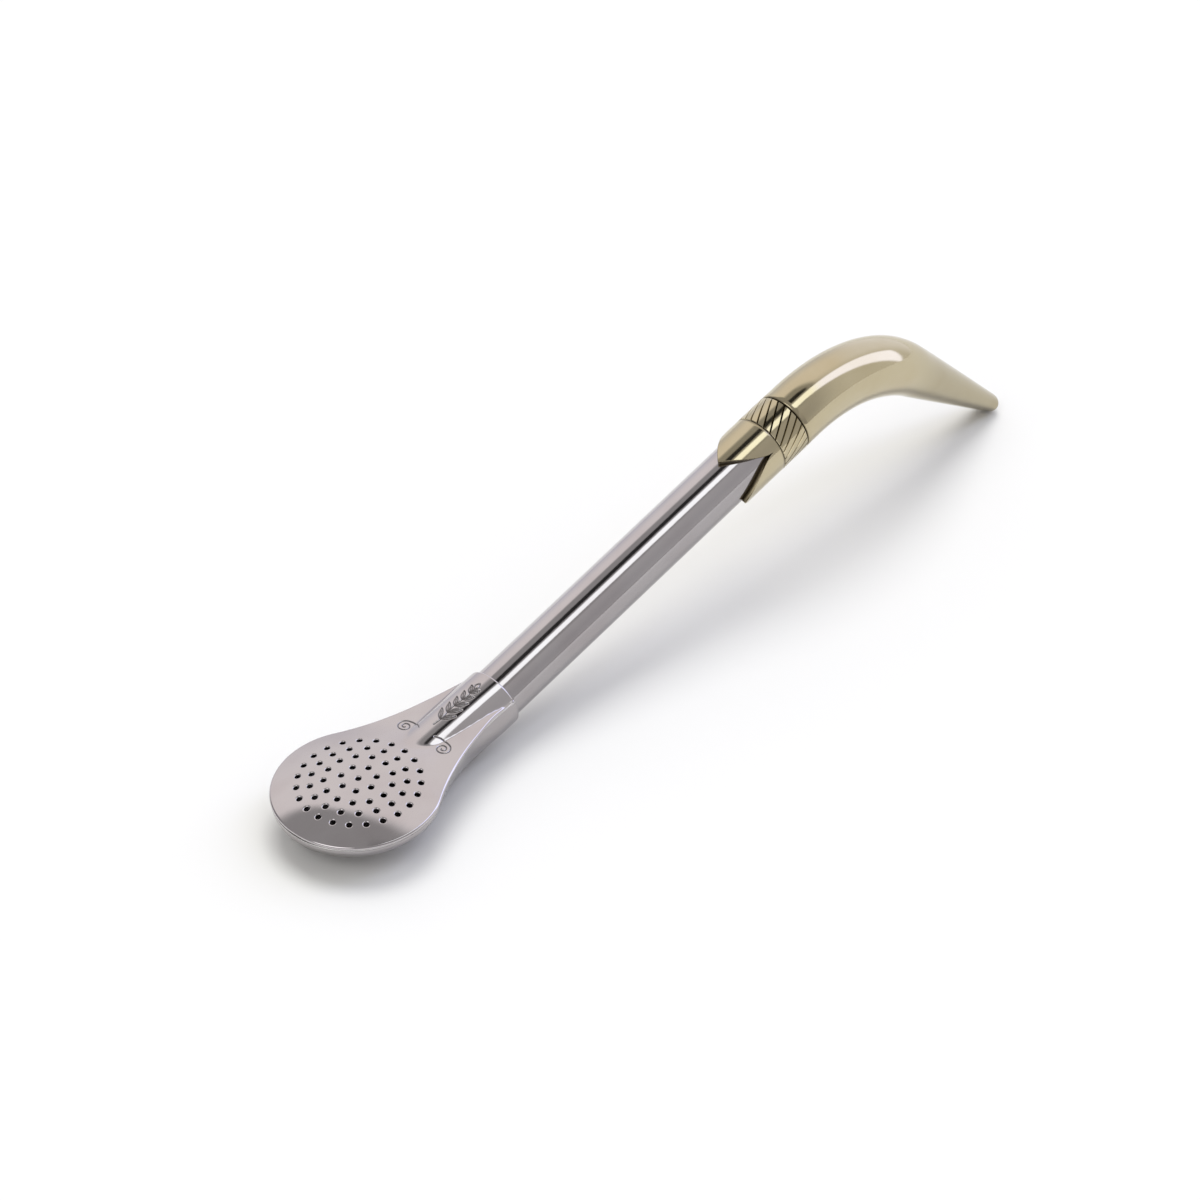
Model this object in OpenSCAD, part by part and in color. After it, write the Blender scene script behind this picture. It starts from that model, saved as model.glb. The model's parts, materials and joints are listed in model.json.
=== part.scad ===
// Bombilla: a straw for drinking mate, with a spoon strainer that pulls off a straight stem and a
// curved brass beak to drink from. The part lies as it rests on a table: the back of the strainer
// and the tip of the beak touch the plane z = 0, and x runs from the strainer to the beak.
//
// Most pieces are drawn in the stem frame: its origin is on the stem's axis at the mouth of the
// strainer's collar, and its x runs along the stem to the beak. The strainer is drawn in the head
// frame: its origin is on the seam at the collar, u runs to the spoon's end, and w stands on the
// seam where plate and bowl meet.

/* [Stem] */
// Outside diameter of the stem tube
stem_od = 10; // [8:0.1:12]
// Wall of the stem tube
stem_wall = 0.8; // [0.5:0.05:1.5]
// Bare stem between the collar and the petal tips
stem_bare = 60.4; // [30:0.2:120]
// Length of stem that sits in the strainer's neck
socket_depth = 12; // [8:0.5:14]
// Length of stem that sits in the beak
beak_socket = 4; // [2:0.2:8]
// Play between the stem and the strainer's neck, on the radius
slide_gap = 0.05; // [0.02:0.01:0.1]
// Solder gap between the stem and the brass, on the radius
solder_gap = 0.02; // [0.01:0.01:0.05]

/* [Strainer] */
// Sheet that the plate and the bowl are pressed from
sheet = 0.6; // [0.4:0.05:0.9]
// Radius of the spoon's round end
bowl_r = 15; // [12:0.5:20]
// Distance from the collar to the middle of the round end
bowl_dist = 34.5; // [30:0.5:45]
// Depth of the bowl below the seam
bowl_depth = 6.4; // [5:0.1:10]
// Upright wall of the bowl below the seam
bowl_skirt = 0.5; // [0.4:0.1:1.5]
// Share of the bowl's depth that is pressed flat along the middle of its back
back_flat = 0.08; // [0:0.01:0.12]
// Angle between the stem and the seam
head_bend = 9.6; // [6:0.2:14]
// Angle between the plate's ridge and the seam
ridge_bend = 8.4; // [6:0.2:14]
// Height of the seam over the stem's axis at the collar
seam_rise = 2.1; // [1.2:0.1:3]
// Rounding of the collar's mouth
collar_round = 0.45; // [0.2:0.05:0.5]
// Rise of the plate's crown over its flange
crown = 1.8; // [0.8:0.1:3]
// Flat flange round the crown
flange = 0.9; // [0.7:0.1:2]
// Thickness of the solder in the seam
seam_solder_t = 0.3; // [0.15:0.05:0.5]

/* [Holes] */
// Diameter of a strainer hole
hole_d = 1; // [0.7:0.05:1.4]
// Distance from the collar to the middle of the hole pattern
pattern_dist = 33.8; // [30:0.1:45]
// Radii of the hole rings
ring_radii = [3.2, 6.1, 8.5, 10.9];
// Number of holes in each ring
ring_counts = [7, 13, 17, 23];
// Turn of each ring, in degrees
ring_turns = [-14.5, 7.4, 2.3, 4.6];

/* [Mouthpiece] */
// Wall of the brass over the stem
brass_wall = 0.95; // [0.7:0.05:2]
// Length of the ferrule with its petals
ferrule_len = 11.2; // [10:0.1:20]
// Number of petals
petal_count = 3; // [3:1:6]
// Length of the petals
petal_len = 9.4; // [5:0.1:9.5]
// Fullness of the petals' sides, where 1 is straight
petal_curve = 1.5; // [1:0.1:2.5]
// Length of the engraved band
band_len = 6.6; // [4:0.1:12]
// Number of slanted grooves round the band
band_grooves = 24; // [8:1:36]
// Slant of the grooves, in degrees from the stem's direction
groove_slant = 29; // [0:1:45]
// Width of a groove
groove_w = 0.35; // [0.2:0.05:0.6]
// Depth of a groove
groove_depth = 0.35; // [0.2:0.05:0.5]
// Bevel on both rims of the band
band_bevel = 0.3; // [0.1:0.05:0.5]

/* [Beak] */
// Straight start of the beak
beak_lead = 3.4; // [2:0.2:10]
// Radius of the beak's bend, on its middle line
beak_bend_r = 35; // [25:0.5:60]
// Angle of the beak's bend
beak_bend = 54; // [30:1:70]
// Straight reach of the beak after its bend
beak_reach = 32.6; // [20:0.2:45]
// Thickness of the beak at its tip
tip_thick = 3.9; // [3.4:0.1:5]
// Width of the beak at its tip
tip_wide = 4.8; // [4:0.1:8]
// Wall of the beak at its tip
tip_wall = 1.1; // [1:0.05:1.3]
// Rounding of the beak's end
tip_round = 0.9; // [0.4:0.05:0.95]

/* [Hidden] */
$fn = 96;
SILVER = "#c4bec0";
BRASS = "#c9bd8f";
SOLDER = "#dcdad6";
// Overshoot of cuts, so that no two faces lie together
CUT = 1;

stem_r = stem_od / 2;
bore_r = stem_r - stem_wall;
brass_r = stem_r + brass_wall;
neck_bore_r = stem_r + slide_gap;
neck_r = neck_bore_r + sheet;

// Places along the stem
petal_x = stem_bare;
band_x = petal_x + ferrule_len;
beak_x = band_x + band_len;
stem_end_x = beak_x + beak_socket;

// Outline of the strainer: a round end and two hollow curves that run to the collar
neck_half = sqrt(pow(neck_r, 2) - pow(seam_rise - seam_solder_t, 2));
flare_r = (pow(bowl_dist, 2) + pow(neck_half, 2) - pow(bowl_r, 2)) / (2 * (bowl_r - neck_half));
flare_v = neck_half + flare_r;
// Share of the way from the middle of the round end to a flare's middle, where the curves meet
flare_meet = 1 / (bowl_r + flare_r);
flare_end_u = bowl_dist * (1 - bowl_r * flare_meet);
dome_r = bowl_r - flange;
// Length of the ridge, from the collar to well past where it has sunk below the seam
ridge_len = neck_r / tan(ridge_bend);

// Rows and points of the bowl's mesh
NECK_ROWS = 15;
END_ROWS = 8;
END_ANGLE = 5;
ARC_STEPS = 16;
DOME_STEPS = 8;
// Length of the neck that is plain round socket, and length over which its round section spreads
// into the bowl's
socket_u = socket_depth * 2 / 3;
spread_u = 2 * socket_u;

// Points on a petal's side, and half the angle between two petal tips, less one degree so that each
// tip stays whole
PETAL_STEPS = 8;
petal_half = 180 / petal_count;
petal_spread = petal_half - 1;

// Rows and points of the beak's mesh
LEAD_ROWS = 2;
BEND_ROWS = 10;
REACH_ROWS = 6;
TIP_ROWS = 4;
BEAK_SIDES = 28;
// Softness of the change from the full section to the taper, and share of the bend's radius by
// which the taper starts before the reach
taper_soft = brass_r / 10;
TAPER_EARLY = 0.23;
taper_len = beak_reach + TAPER_EARLY * beak_bend_r;
bend_len = beak_bend_r * beak_bend * PI / 180;
beak_len = beak_lead + bend_len + beak_reach;

function smooth(t) = let (c = min(max(t, 0), 1)) c * c * (3 - 2 * c);
function blend(a, b, t) = a + (b - a) * t;

// Head frame to stem frame
function head_to_stem(p) =
    [p[2] * sin(head_bend) - p[0] * cos(head_bend),
     -p[1],
     seam_rise + p[0] * sin(head_bend) + p[2] * cos(head_bend)];

// Height of the stem's axis in the head frame
function axis_w(u) = -seam_rise / cos(head_bend) - u * tan(head_bend);

// Half width of the strainer's outline
function half_width(u) =
    u < flare_end_u ? flare_v - sqrt(pow(flare_r, 2) - u * u)
                    : sqrt(max(0, pow(bowl_r, 2) - pow(u - bowl_dist, 2)));

// Cubic through two heights with two slopes
function cubic(t, a, slope_a, b, slope_b) =
    (2 * pow(t, 3) - 3 * t * t + 1) * a + (pow(t, 3) - 2 * t * t + t) * slope_a
    + (3 * t * t - 2 * pow(t, 3)) * b + (pow(t, 3) - t * t) * slope_b;

// Height of the bowl's underside on its middle line
function socket_floor(u) = axis_w(u) - neck_r / cos(head_bend);
function bowl_floor(u) =
    let (run = bowl_dist - socket_u, rest = (u - bowl_dist) / bowl_r)
    u < socket_u ? socket_floor(u)
    : u < bowl_dist ? cubic((u - socket_u) / run, socket_floor(socket_u), -tan(head_bend) * run,
                            -bowl_depth, 0)
    : -bowl_skirt - (bowl_depth - bowl_skirt) * sqrt(max(0, 1 - rest * rest));

// Share of a section's depth at an angle round it: a half oval with a flat at its bottom
function flattened(angle, flat) =
    1 - sqrt(max(0, pow(1 - sin(angle), 2) - flat * flat) / (1 - flat * flat));

// One section of the bowl: a short upright wall and a half oval, drawn in by inset. Past the socket
// its back is flat enough for the part to lie still
function bowl_section(u, inset, rim_w) =
    let (t = smooth(u / spread_u),
         half = half_width(u) - inset,
         mid_w = blend(axis_w(u), -bowl_skirt, t),
         wide = blend(neck_r, half_width(u), t) - inset,
         deep = mid_w - bowl_floor(u) - inset,
         flat = back_flat * smooth(u / socket_u))
    concat([[u, half, rim_w]],
           [for (i = [0:ARC_STEPS])
               let (angle = 180 * i / ARC_STEPS)
               [u, wide * cos(angle), mid_w - deep * flattened(angle, flat)]],
           [[u, -half, rim_w]]);

// Rows along the bowl, from start to the end of a spoon whose round end has radius end_r
function bowl_rows(start, end_r) =
    concat([for (i = [0:NECK_ROWS]) blend(start, bowl_dist, i / NECK_ROWS)],
           [for (i = [1:END_ROWS]) bowl_dist + end_r * cos(blend(90, END_ANGLE, i / END_ROWS))]);

// Cavity sections are drawn on the outer outline, so a row is moved out by the sheet at the end
function cavity_section(u) =
    let (past = max(0, u - bowl_dist) / (bowl_r - sheet),
         full = bowl_section(bowl_dist, sheet, CUT))
    u <= bowl_dist ? bowl_section(u, sheet, CUT)
    : [for (p = full) [u, p[1] * sqrt(1 - past * past),
                       p[2] > -bowl_skirt ? p[2]
                       : -bowl_skirt + (p[2] + bowl_skirt) * sqrt(1 - past * past)]];

bowl_start_u = -2 * CUT;
bowl_loops = [for (u = bowl_rows(bowl_start_u, bowl_r)) bowl_section(u, 0, -seam_solder_t)];
cavity_loops = [for (u = bowl_rows(socket_u, bowl_r - sheet)) cavity_section(u)];

// Soft lesser of two lengths
function soft_min(a, b) = (a + b - sqrt(pow(a - b, 2) + pow(taper_soft, 2))) / 2;
function taper(full, end, s) =
    soft_min(full, end + (full - end) * (beak_len - s) / taper_len);

// Middle line of the beak, from its start: place and downward angle
function beak_angle(s) = min(max(s - beak_lead, 0), bend_len) / bend_len * beak_bend;
function beak_mid(s) =
    let (a = beak_angle(s), past = max(0, s - beak_lead - bend_len))
    [beak_x + min(s, beak_lead) + beak_bend_r * sin(a) + past * cos(a),
     0,
     -beak_bend_r * (1 - cos(a)) - past * sin(a)];

// Draw-in of the rounded end
function tip_inset(s) =
    let (t = max(0, s - beak_len + tip_round) / tip_round)
    tip_round * (1 - sqrt(max(0, 1 - t * t)));

function beak_ring(s, wide, thick) =
    let (a = beak_angle(s), mid = beak_mid(s))
    [for (i = [0:BEAK_SIDES - 1])
        let (q = -360 * i / BEAK_SIDES)
        mid + [thick * sin(q) * sin(a), wide * cos(q), thick * sin(q) * cos(a)]];
function beak_outer(s) =
    beak_ring(s, taper(brass_r, tip_wide / 2, s) - tip_inset(s),
              taper(brass_r, tip_thick / 2, s) - tip_inset(s));
// The passage starts as wide as the stem's bore and ends as a slot
function beak_inner(s) =
    let (wall = blend(brass_r - bore_r, tip_wall, max(0, s) / beak_len))
    beak_ring(s, taper(brass_r, tip_wide / 2, s) - wall, taper(brass_r, tip_thick / 2, s) - wall);

beak_stations =
    concat([for (i = [0:LEAD_ROWS]) beak_lead * i / LEAD_ROWS],
           [for (i = [1:BEND_ROWS]) beak_lead + bend_len * i / BEND_ROWS],
           [for (i = [1:REACH_ROWS]) blend(beak_lead + bend_len, beak_len - tip_round, i / REACH_ROWS)],
           [for (i = [1:TIP_ROWS]) beak_len - tip_round * (1 - sin(90 * i / TIP_ROWS))]);
beak_loops = [for (s = beak_stations) beak_outer(s)];
passage_loops = concat([for (s = beak_stations) beak_inner(s)], [beak_inner(beak_len + CUT)]);

// The lean at which the bowl and the beak's tip touch the table together
bowl_points = [for (loop = bowl_loops) for (p = loop) head_to_stem(p)];
beak_points = [for (loop = beak_loops) for (p = loop) p];
function height(p, lean) = p[0] * sin(lean) + p[2] * cos(lean);
function reach(p, lean) = p[0] * cos(lean) - p[2] * sin(lean);
function lowest(points, lean) = min([for (p = points) height(p, lean)]);
LEAN_TRIES = 40;
MOST_LEAN = 45;
function resting_lean(lo, hi, tries) =
    let (mid = (lo + hi) / 2)
    tries == 0 ? mid
    : lowest(beak_points, mid) < lowest(bowl_points, mid) ? resting_lean(mid, hi, tries - 1)
    : resting_lean(lo, mid, tries - 1);
stem_lean = resting_lean(0, MOST_LEAN, LEAN_TRIES);

// Shift that centres the part over the origin and lifts it to stand on z = 0
spoon_end = [for (w = [0, sheet]) head_to_stem([bowl_dist + bowl_r, 0, w])];
first_x = min([for (p = concat(spoon_end, bowl_points)) reach(p, stem_lean)]);
last_x = max([for (p = beak_points) reach(p, stem_lean)]);
lift = -lowest(bowl_points, stem_lean);

module in_stem_frame() {
    translate([-(first_x + last_x) / 2, 0, lift]) rotate([0, -stem_lean, 0]) children();
}

module in_head_frame() {
    in_stem_frame() translate([0, 0, seam_rise]) rotate([0, head_bend, 0]) rotate([0, 0, 180]) children();
}

// A solid skinned over loops of as many points each, closed at both ends
module skin(loops) {
    count = len(loops[0]);
    last = len(loops) - 1;
    sides = [for (i = [0:last - 1]) for (j = [0:count - 1])
                let (a = i * count + j, b = i * count + (j + 1) % count)
                for (f = [[a, b, b + count], [a, b + count, a + count]]) f];
    start = [for (j = [1:count - 2]) [0, j + 1, j]];
    end = [for (j = [1:count - 2]) [last * count, last * count + j, last * count + j + 1]];
    polyhedron([for (loop = loops) for (p = loop) p], concat(sides, start, end));
}

// A round bar along the stem's axis
module bar(r, from, to) {
    in_stem_frame() translate([from, 0, 0]) rotate([0, 90, 0]) cylinder(r = r, h = to - from);
}

// A ring turned about the stem's axis: its section is drawn as [radius, place]
module turned(from, points) {
    in_stem_frame() translate([from, 0, 0]) rotate([0, 90, 0]) rotate_extrude() polygon(points);
}

// What the collar's mouth loses: all beyond its face, and its rounded edge
module collar_cut() {
    far = bowl_dist;
    bar(far, 0, far);
    in_stem_frame() rotate([0, 90, 0]) rotate_extrude() difference() {
        translate([neck_r - collar_round, -collar_round]) square([far, collar_round + CUT]);
        translate([neck_r - collar_round, -collar_round]) circle(collar_round);
    }
}

// Plan of the strainer on the seam, drawn in by inset
module head_outline(inset) {
    r = bowl_r - inset;
    meet = [bowl_dist * (1 - r * flare_meet), flare_v * r * flare_meet];
    reach = bowl_dist + bowl_r;
    intersection() {
        translate([0, -bowl_r]) square([reach, 2 * bowl_r]);
        difference() {
            union() {
                translate([bowl_dist, 0]) circle(r);
                polygon([[-CUT, -meet[1]], [-CUT, meet[1]], meet, [meet[0], -meet[1]]]);
            }
            for (side = [-1, 1])
                translate([0, side * flare_v]) circle(flare_r + inset);
        }
    }
}

// Dome of the plate's crown, from floor up to base over the seam at its rim
module dome(floor_w, base) {
    rise = [for (i = [0:DOME_STEPS])
               let (r = dome_r * (1 - i / DOME_STEPS))
               [r, base + crown * (1 - pow(r / dome_r, 4))]];
    translate([bowl_dist, 0, 0]) rotate_extrude()
        polygon(concat([[0, floor_w], [dome_r, floor_w]], rise));
}

module strainer_holes() {
    through = crown + sheet + 2 * CUT;
    translate([pattern_dist, 0, -CUT]) {
        cylinder(d = hole_d, h = through);
        for (k = [0:len(ring_radii) - 1])
            for (i = [0:ring_counts[k] - 1])
                rotate([0, 0, ring_turns[k] + 360 * i / ring_counts[k]])
                    translate([ring_radii[k], 0, 0]) cylinder(d = hole_d, h = through);
    }
}

// Perforated front of the strainer: flange, crown and the upper half of the neck
module strainer_plate() {
    color(SILVER) difference() {
        union() {
            in_head_frame() linear_extrude(sheet) head_outline(0);
            in_head_frame() dome(0, sheet);
            intersection() {
                in_stem_frame() rotate([0, head_bend - ridge_bend, 0]) rotate([0, -90, 0])
                    cylinder(r = neck_r, h = ridge_len);
                in_head_frame() translate([-bowl_dist, -bowl_r, 0])
                    cube([2 * bowl_dist, 2 * bowl_r, bowl_r]);
            }
        }
        in_head_frame() dome(-CUT, 0);
        in_head_frame() strainer_holes();
        bar(neck_bore_r, -ridge_len - CUT, CUT);
        collar_cut();
    }
}

// Back of the strainer: the lower half of the neck, spread into a shallow bowl
module strainer_bowl() {
    color(SILVER) difference() {
        in_head_frame() skin(bowl_loops);
        in_head_frame() skin(cavity_loops);
        bar(neck_bore_r, -socket_depth - CUT, CUT);
        collar_cut();
    }
}

// Silver solder that fills the seam between plate and bowl
module seam_solder() {
    color(SOLDER) difference() {
        in_head_frame() translate([0, 0, -seam_solder_t]) linear_extrude(seam_solder_t) difference() {
            head_outline(0);
            head_outline(sheet);
        }
        bar(neck_bore_r, -bowl_dist, CUT);
        collar_cut();
    }
}

module stem_tube() {
    color(SILVER) difference() {
        bar(stem_r, -socket_depth, stem_end_x);
        bar(bore_r, -socket_depth - CUT, stem_end_x + CUT);
    }
}

// Gap between two petals, drawn flat and cut straight in towards the axis
module petal_gap() {
    side = [for (i = [0:PETAL_STEPS])
               let (t = i / PETAL_STEPS)
               [petal_x + petal_len * t, brass_r * sin(petal_spread * pow(1 - t, petal_curve))]];
    back = [for (i = [PETAL_STEPS - 1:-1:0]) [side[i][0], -side[i][1]]];
    linear_extrude(2 * brass_r)
        polygon(concat([[petal_x - CUT, -brass_r], [petal_x - CUT, brass_r]], side, back));
}

// Brass sleeve on the stem, cut into pointed petals
module petal_ferrule() {
    color(BRASS) difference() {
        bar(brass_r, petal_x, band_x);
        bar(stem_r + solder_gap, petal_x - CUT, band_x + CUT);
        for (i = [0:petal_count - 1])
            in_stem_frame() rotate([petal_half * (2 * i + 1), 0, 0]) petal_gap();
    }
}

// Brass ring with slanted grooves between two bevelled rims
module twist_band() {
    hole_r = stem_r + solder_gap;
    color(BRASS) difference() {
        turned(band_x, [[hole_r, 0], [brass_r - band_bevel, 0], [brass_r, band_bevel],
                        [brass_r, band_len - band_bevel], [brass_r - band_bevel, band_len],
                        [hole_r, band_len]]);
        for (i = [0:band_grooves - 1])
            in_stem_frame() rotate([360 * i / band_grooves, 0, 0])
                translate([band_x + band_len / 2, 0, brass_r]) rotate([0, 0, groove_slant])
                    cube([2 * band_len, groove_w, 2 * groove_depth], center = true);
    }
}

// Curved brass beak, hollow from the stem's end to the slot at its tip
module beak() {
    color(BRASS) difference() {
        in_stem_frame() skin(beak_loops);
        in_stem_frame() skin(passage_loops);
        bar(stem_r + solder_gap, beak_x - CUT, stem_end_x);
    }
}

stem_tube();
strainer_plate();
strainer_bowl();
seam_solder();
petal_ferrule();
twist_band();
beak();
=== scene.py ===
"""Bombilla: a straw for drinking mate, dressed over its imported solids.

The strainer is a perforated plate soldered to a bowl. It slides on a plain stem that carries a
brass mouthpiece: a petalled ferrule, an engraved band and a curved beak. Sizes are in millimetres
until a piece is put in its place in the part's frame, which is in metres.
"""
import json
import logging
import math
from dataclasses import dataclass
from enum import Enum
from typing import Callable, Sequence

import bmesh
import bpy
import numpy as np
from mathutils import Matrix, Vector, geometry

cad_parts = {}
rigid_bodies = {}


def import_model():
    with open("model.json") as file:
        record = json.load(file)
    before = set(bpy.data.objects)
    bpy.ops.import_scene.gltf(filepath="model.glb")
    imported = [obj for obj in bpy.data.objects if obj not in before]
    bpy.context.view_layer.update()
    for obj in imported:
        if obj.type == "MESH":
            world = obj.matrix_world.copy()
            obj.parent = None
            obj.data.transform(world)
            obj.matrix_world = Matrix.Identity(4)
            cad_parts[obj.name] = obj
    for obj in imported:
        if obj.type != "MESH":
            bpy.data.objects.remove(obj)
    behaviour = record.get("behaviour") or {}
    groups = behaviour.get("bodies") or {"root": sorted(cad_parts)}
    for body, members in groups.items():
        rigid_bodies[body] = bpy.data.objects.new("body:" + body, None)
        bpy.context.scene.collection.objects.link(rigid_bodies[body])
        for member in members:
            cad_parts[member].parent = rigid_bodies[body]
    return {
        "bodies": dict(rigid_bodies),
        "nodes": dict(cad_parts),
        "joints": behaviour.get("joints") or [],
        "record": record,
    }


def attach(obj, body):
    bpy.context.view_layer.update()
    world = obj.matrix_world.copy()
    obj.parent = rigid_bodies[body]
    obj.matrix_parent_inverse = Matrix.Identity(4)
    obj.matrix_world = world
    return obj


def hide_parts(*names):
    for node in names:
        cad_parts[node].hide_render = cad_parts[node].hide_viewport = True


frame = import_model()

log = logging.getLogger("bombilla")

MM = 0.001
# Name of the point attribute with the share of dark colour: real patina in some places, painted
# shade in others
PATINA_AND_SHADE = "patina"
SMOOTH_ANGLE = math.radians(38)
# Lengths that are too small to see
MERGE_WITHIN = 1e-4
TINY = 1e-3
LEAST = 1e-6
# Kind of triangulation: inside the bounds, with the holes left out
INSIDE_BOUNDS = 2
# Distance along the stem from the collar to its grip
GRIP_X = 30.2

Pair = tuple[float, float]
Triple = tuple[float, float, float]
Edge = tuple[Triple, float, float]
Faces = list[tuple[int, ...]]
ALONG_X: Triple = (1.0, 0.0, 0.0)
ALONG_Y: Triple = (0.0, 1.0, 0.0)
ALONG_Z: Triple = (0.0, 0.0, 1.0)


class Body(Enum):
    """The two bodies of the part."""

    STRAINER = "strainer"
    STRAW = "straw"


class Slot(Enum):
    """The record's material slots."""

    NICKEL_SILVER = "nickel_silver"
    SILVER_SOLDER = "silver_solder"
    BRASS = "brass"


def smooth(t: float) -> float:
    """Ease from 0 to 1 with level ends."""
    c = min(max(t, 0.0), 1.0)
    return c * c * (3 - 2 * c)


def smooth_all(t: np.ndarray) -> np.ndarray:
    """Ease each entry from 0 to 1 with level ends."""
    c = np.clip(t, 0.0, 1.0)
    return c * c * (3 - 2 * c)


def blend(a: float, b: float, t: float) -> float:
    """Straight mix of two values."""
    return a + (b - a) * t


@dataclass(frozen=True)
class Placing:
    """Where the stem lies in the part's frame.

    Attributes:
        collar: Point on the stem's axis at the mouth of the strainer's collar, in metres.
        axis: Direction of the stem from the strainer to the beak.
    """

    collar: Vector
    axis: Vector

    @classmethod
    def from_frame(cls, packed: dict, grip_x: float) -> "Placing":
        """Read the stem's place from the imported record.

        Args:
            packed: The loaded frame.
            grip_x: Distance from the collar to the grip on the stem, in millimetres.

        Returns:
            The placing of the stem.
        """
        axis = Vector(packed["joints"][0]["axis"]).normalized()
        grip = Vector(packed["record"]["mounts"][0]["pos_m"])
        return cls(grip - axis * grip_x * MM, axis)

    @property
    def lean(self) -> float:
        """Angle of the stem over the table."""
        return math.asin(self.axis.z)

    def stem(self) -> Matrix:
        """Matrix from the stem frame in millimetres to the part's frame in metres."""
        turn = Matrix.Rotation(-self.lean, 4, "Y")
        return Matrix.Translation(self.collar) @ turn @ Matrix.Scale(MM, 4)

    def head(self, seam_rise: float, bend: float) -> Matrix:
        """Matrix from the head frame, which lies on the strainer's seam.

        Args:
            seam_rise: Height of the seam over the stem's axis at the collar.
            bend: Angle between the stem and the seam.

        Returns:
            The matrix to the part's frame in metres.
        """
        flat = Matrix.Rotation(bend, 4, "Y") @ Matrix.Rotation(math.pi, 4, "Z")
        return self.stem() @ Matrix.Translation((0, 0, seam_rise)) @ flat


class Bench:
    """Hand tools on the selected mesh, in millimetres about the X axis."""

    @staticmethod
    def clear() -> None:
        """Deselect every object."""
        bpy.ops.object.select_all(action="DESELECT")

    @staticmethod
    def take(obj: bpy.types.Object) -> None:
        """Select one object alone and make it active.

        Args:
            obj: The object.
        """
        Bench.clear()
        obj.select_set(True)
        bpy.context.view_layer.objects.active = obj

    @staticmethod
    def open_all() -> None:
        """Open the active mesh for editing, with all of it selected."""
        bpy.ops.object.mode_set(mode="EDIT")
        bpy.ops.mesh.select_all(action="SELECT")

    @staticmethod
    def close() -> None:
        """Leave edit mode."""
        bpy.ops.object.mode_set(mode="OBJECT")

    @staticmethod
    def ring(radius: float, sides: int, x: float) -> bpy.types.Object:
        """Add a ring about the X axis and open it for editing.

        Args:
            radius: Radius of the ring.
            sides: Number of its points.
            x: Its place along the axis.

        Returns:
            The new object, in edit mode with the ring selected.
        """
        Bench.clear()
        bpy.ops.mesh.primitive_circle_add(vertices=sides, radius=radius, fill_type="NOTHING",
                                          location=(0, 0, 0), rotation=(0, math.pi / 2, 0))
        obj = bpy.context.object
        bpy.ops.object.transform_apply(location=True, rotation=True, scale=True)
        Bench.open_all()
        bpy.ops.transform.translate(value=(x, 0, 0))
        return obj

    @staticmethod
    def pull(dx: float) -> None:
        """Extrude the selected ring along the axis."""
        bpy.ops.mesh.extrude_region_move(TRANSFORM_OT_translate={"value": (dx, 0, 0)})

    @staticmethod
    def swell(x: float, by_y: float, by_z: float) -> None:
        """Resize the selected ring about its middle."""
        bpy.ops.transform.resize(value=(1, by_y, by_z), center_override=(x, 0, 0))

    @staticmethod
    def set_radius(obj: bpy.types.Object, radius: float, every: int = 1) -> None:
        """Move the selected points, or every so many of them, to one radius.

        Args:
            obj: The object in edit mode.
            radius: The new radius.
            every: Step between the points that move, counted round the ring.
        """
        shape = bmesh.from_edit_mesh(obj.data)
        picked = [v for v in shape.verts if v.select]
        picked.sort(key=lambda v: math.atan2(v.co.z, v.co.y))
        for v in picked[::every]:
            now = math.hypot(v.co.y, v.co.z)
            v.co.y *= radius / now
            v.co.z *= radius / now
        bmesh.update_edit_mesh(obj.data)

    @staticmethod
    def draw(stations: list[Triple], sides: int) -> bpy.types.Object:
        """Extrude a ring through stations and join its last loop to its first.

        Args:
            stations: Place along the axis, and half sizes in Y and in Z, for each ring.
            sides: Number of points round the ring.

        Returns:
            The closed shape, in object mode.
        """
        x, half_y, half_z = stations[0]
        obj = Bench.ring(1.0, sides, x)
        Bench.swell(x, half_y, half_z)
        for next_x, next_y, next_z in stations[1:]:
            Bench.pull(next_x - x)
            if (next_y, next_z) != (half_y, half_z):
                Bench.swell(next_x, next_y / half_y, next_z / half_z)
            x, half_y, half_z = next_x, next_y, next_z
        Bench.join_loops()
        return obj

    @staticmethod
    def join_loops() -> None:
        """Bridge the two open loops of the mesh in edit mode, and leave edit mode."""
        bpy.ops.mesh.select_all(action="DESELECT")
        bpy.ops.mesh.select_non_manifold()
        bpy.ops.mesh.bridge_edge_loops()
        Bench.close()

    @staticmethod
    def sheet(columns: int, rows: int,
              place: Callable[[float, float], Triple]) -> bpy.types.Object:
        """Lay a grid on a surface and merge what meets.

        Args:
            columns: Cells across.
            rows: Cells along.
            place: Gives the point for each share of the way across and along.

        Returns:
            The laid sheet, in object mode.
        """
        Bench.clear()
        bpy.ops.mesh.primitive_grid_add(x_subdivisions=columns, y_subdivisions=rows, size=2)
        obj = bpy.context.object
        for v in obj.data.vertices:
            v.co = place((v.co.x + 1) / 2, (v.co.y + 1) / 2)
        Bench.open_all()
        bpy.ops.mesh.remove_doubles(threshold=MERGE_WITHIN)
        bpy.ops.mesh.normals_make_consistent(inside=False)
        Bench.close()
        return obj

    @staticmethod
    def apply(obj: bpy.types.Object, kind: str, **settings: object) -> None:
        """Add a modifier with its settings and apply it.

        Args:
            obj: The object to change.
            kind: Type of the modifier.
            **settings: Values for its properties.
        """
        modifier = obj.modifiers.new(kind.lower(), kind)
        for name, value in settings.items():
            setattr(modifier, name, value)
        bpy.ops.object.modifier_apply(modifier=modifier.name)

    @staticmethod
    def stain_and_shade_all(obj: bpy.types.Object, shares: Sequence[float]) -> None:
        """Store how dark the patina and painted shade are at each point.

        Args:
            obj: The object.
            shares: Share of patina and painted shade, 0 to 1, for each of its points.
        """
        layer = obj.data.attributes.new(PATINA_AND_SHADE, "FLOAT", "POINT")
        layer.data.foreach_set("value", shares)

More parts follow.
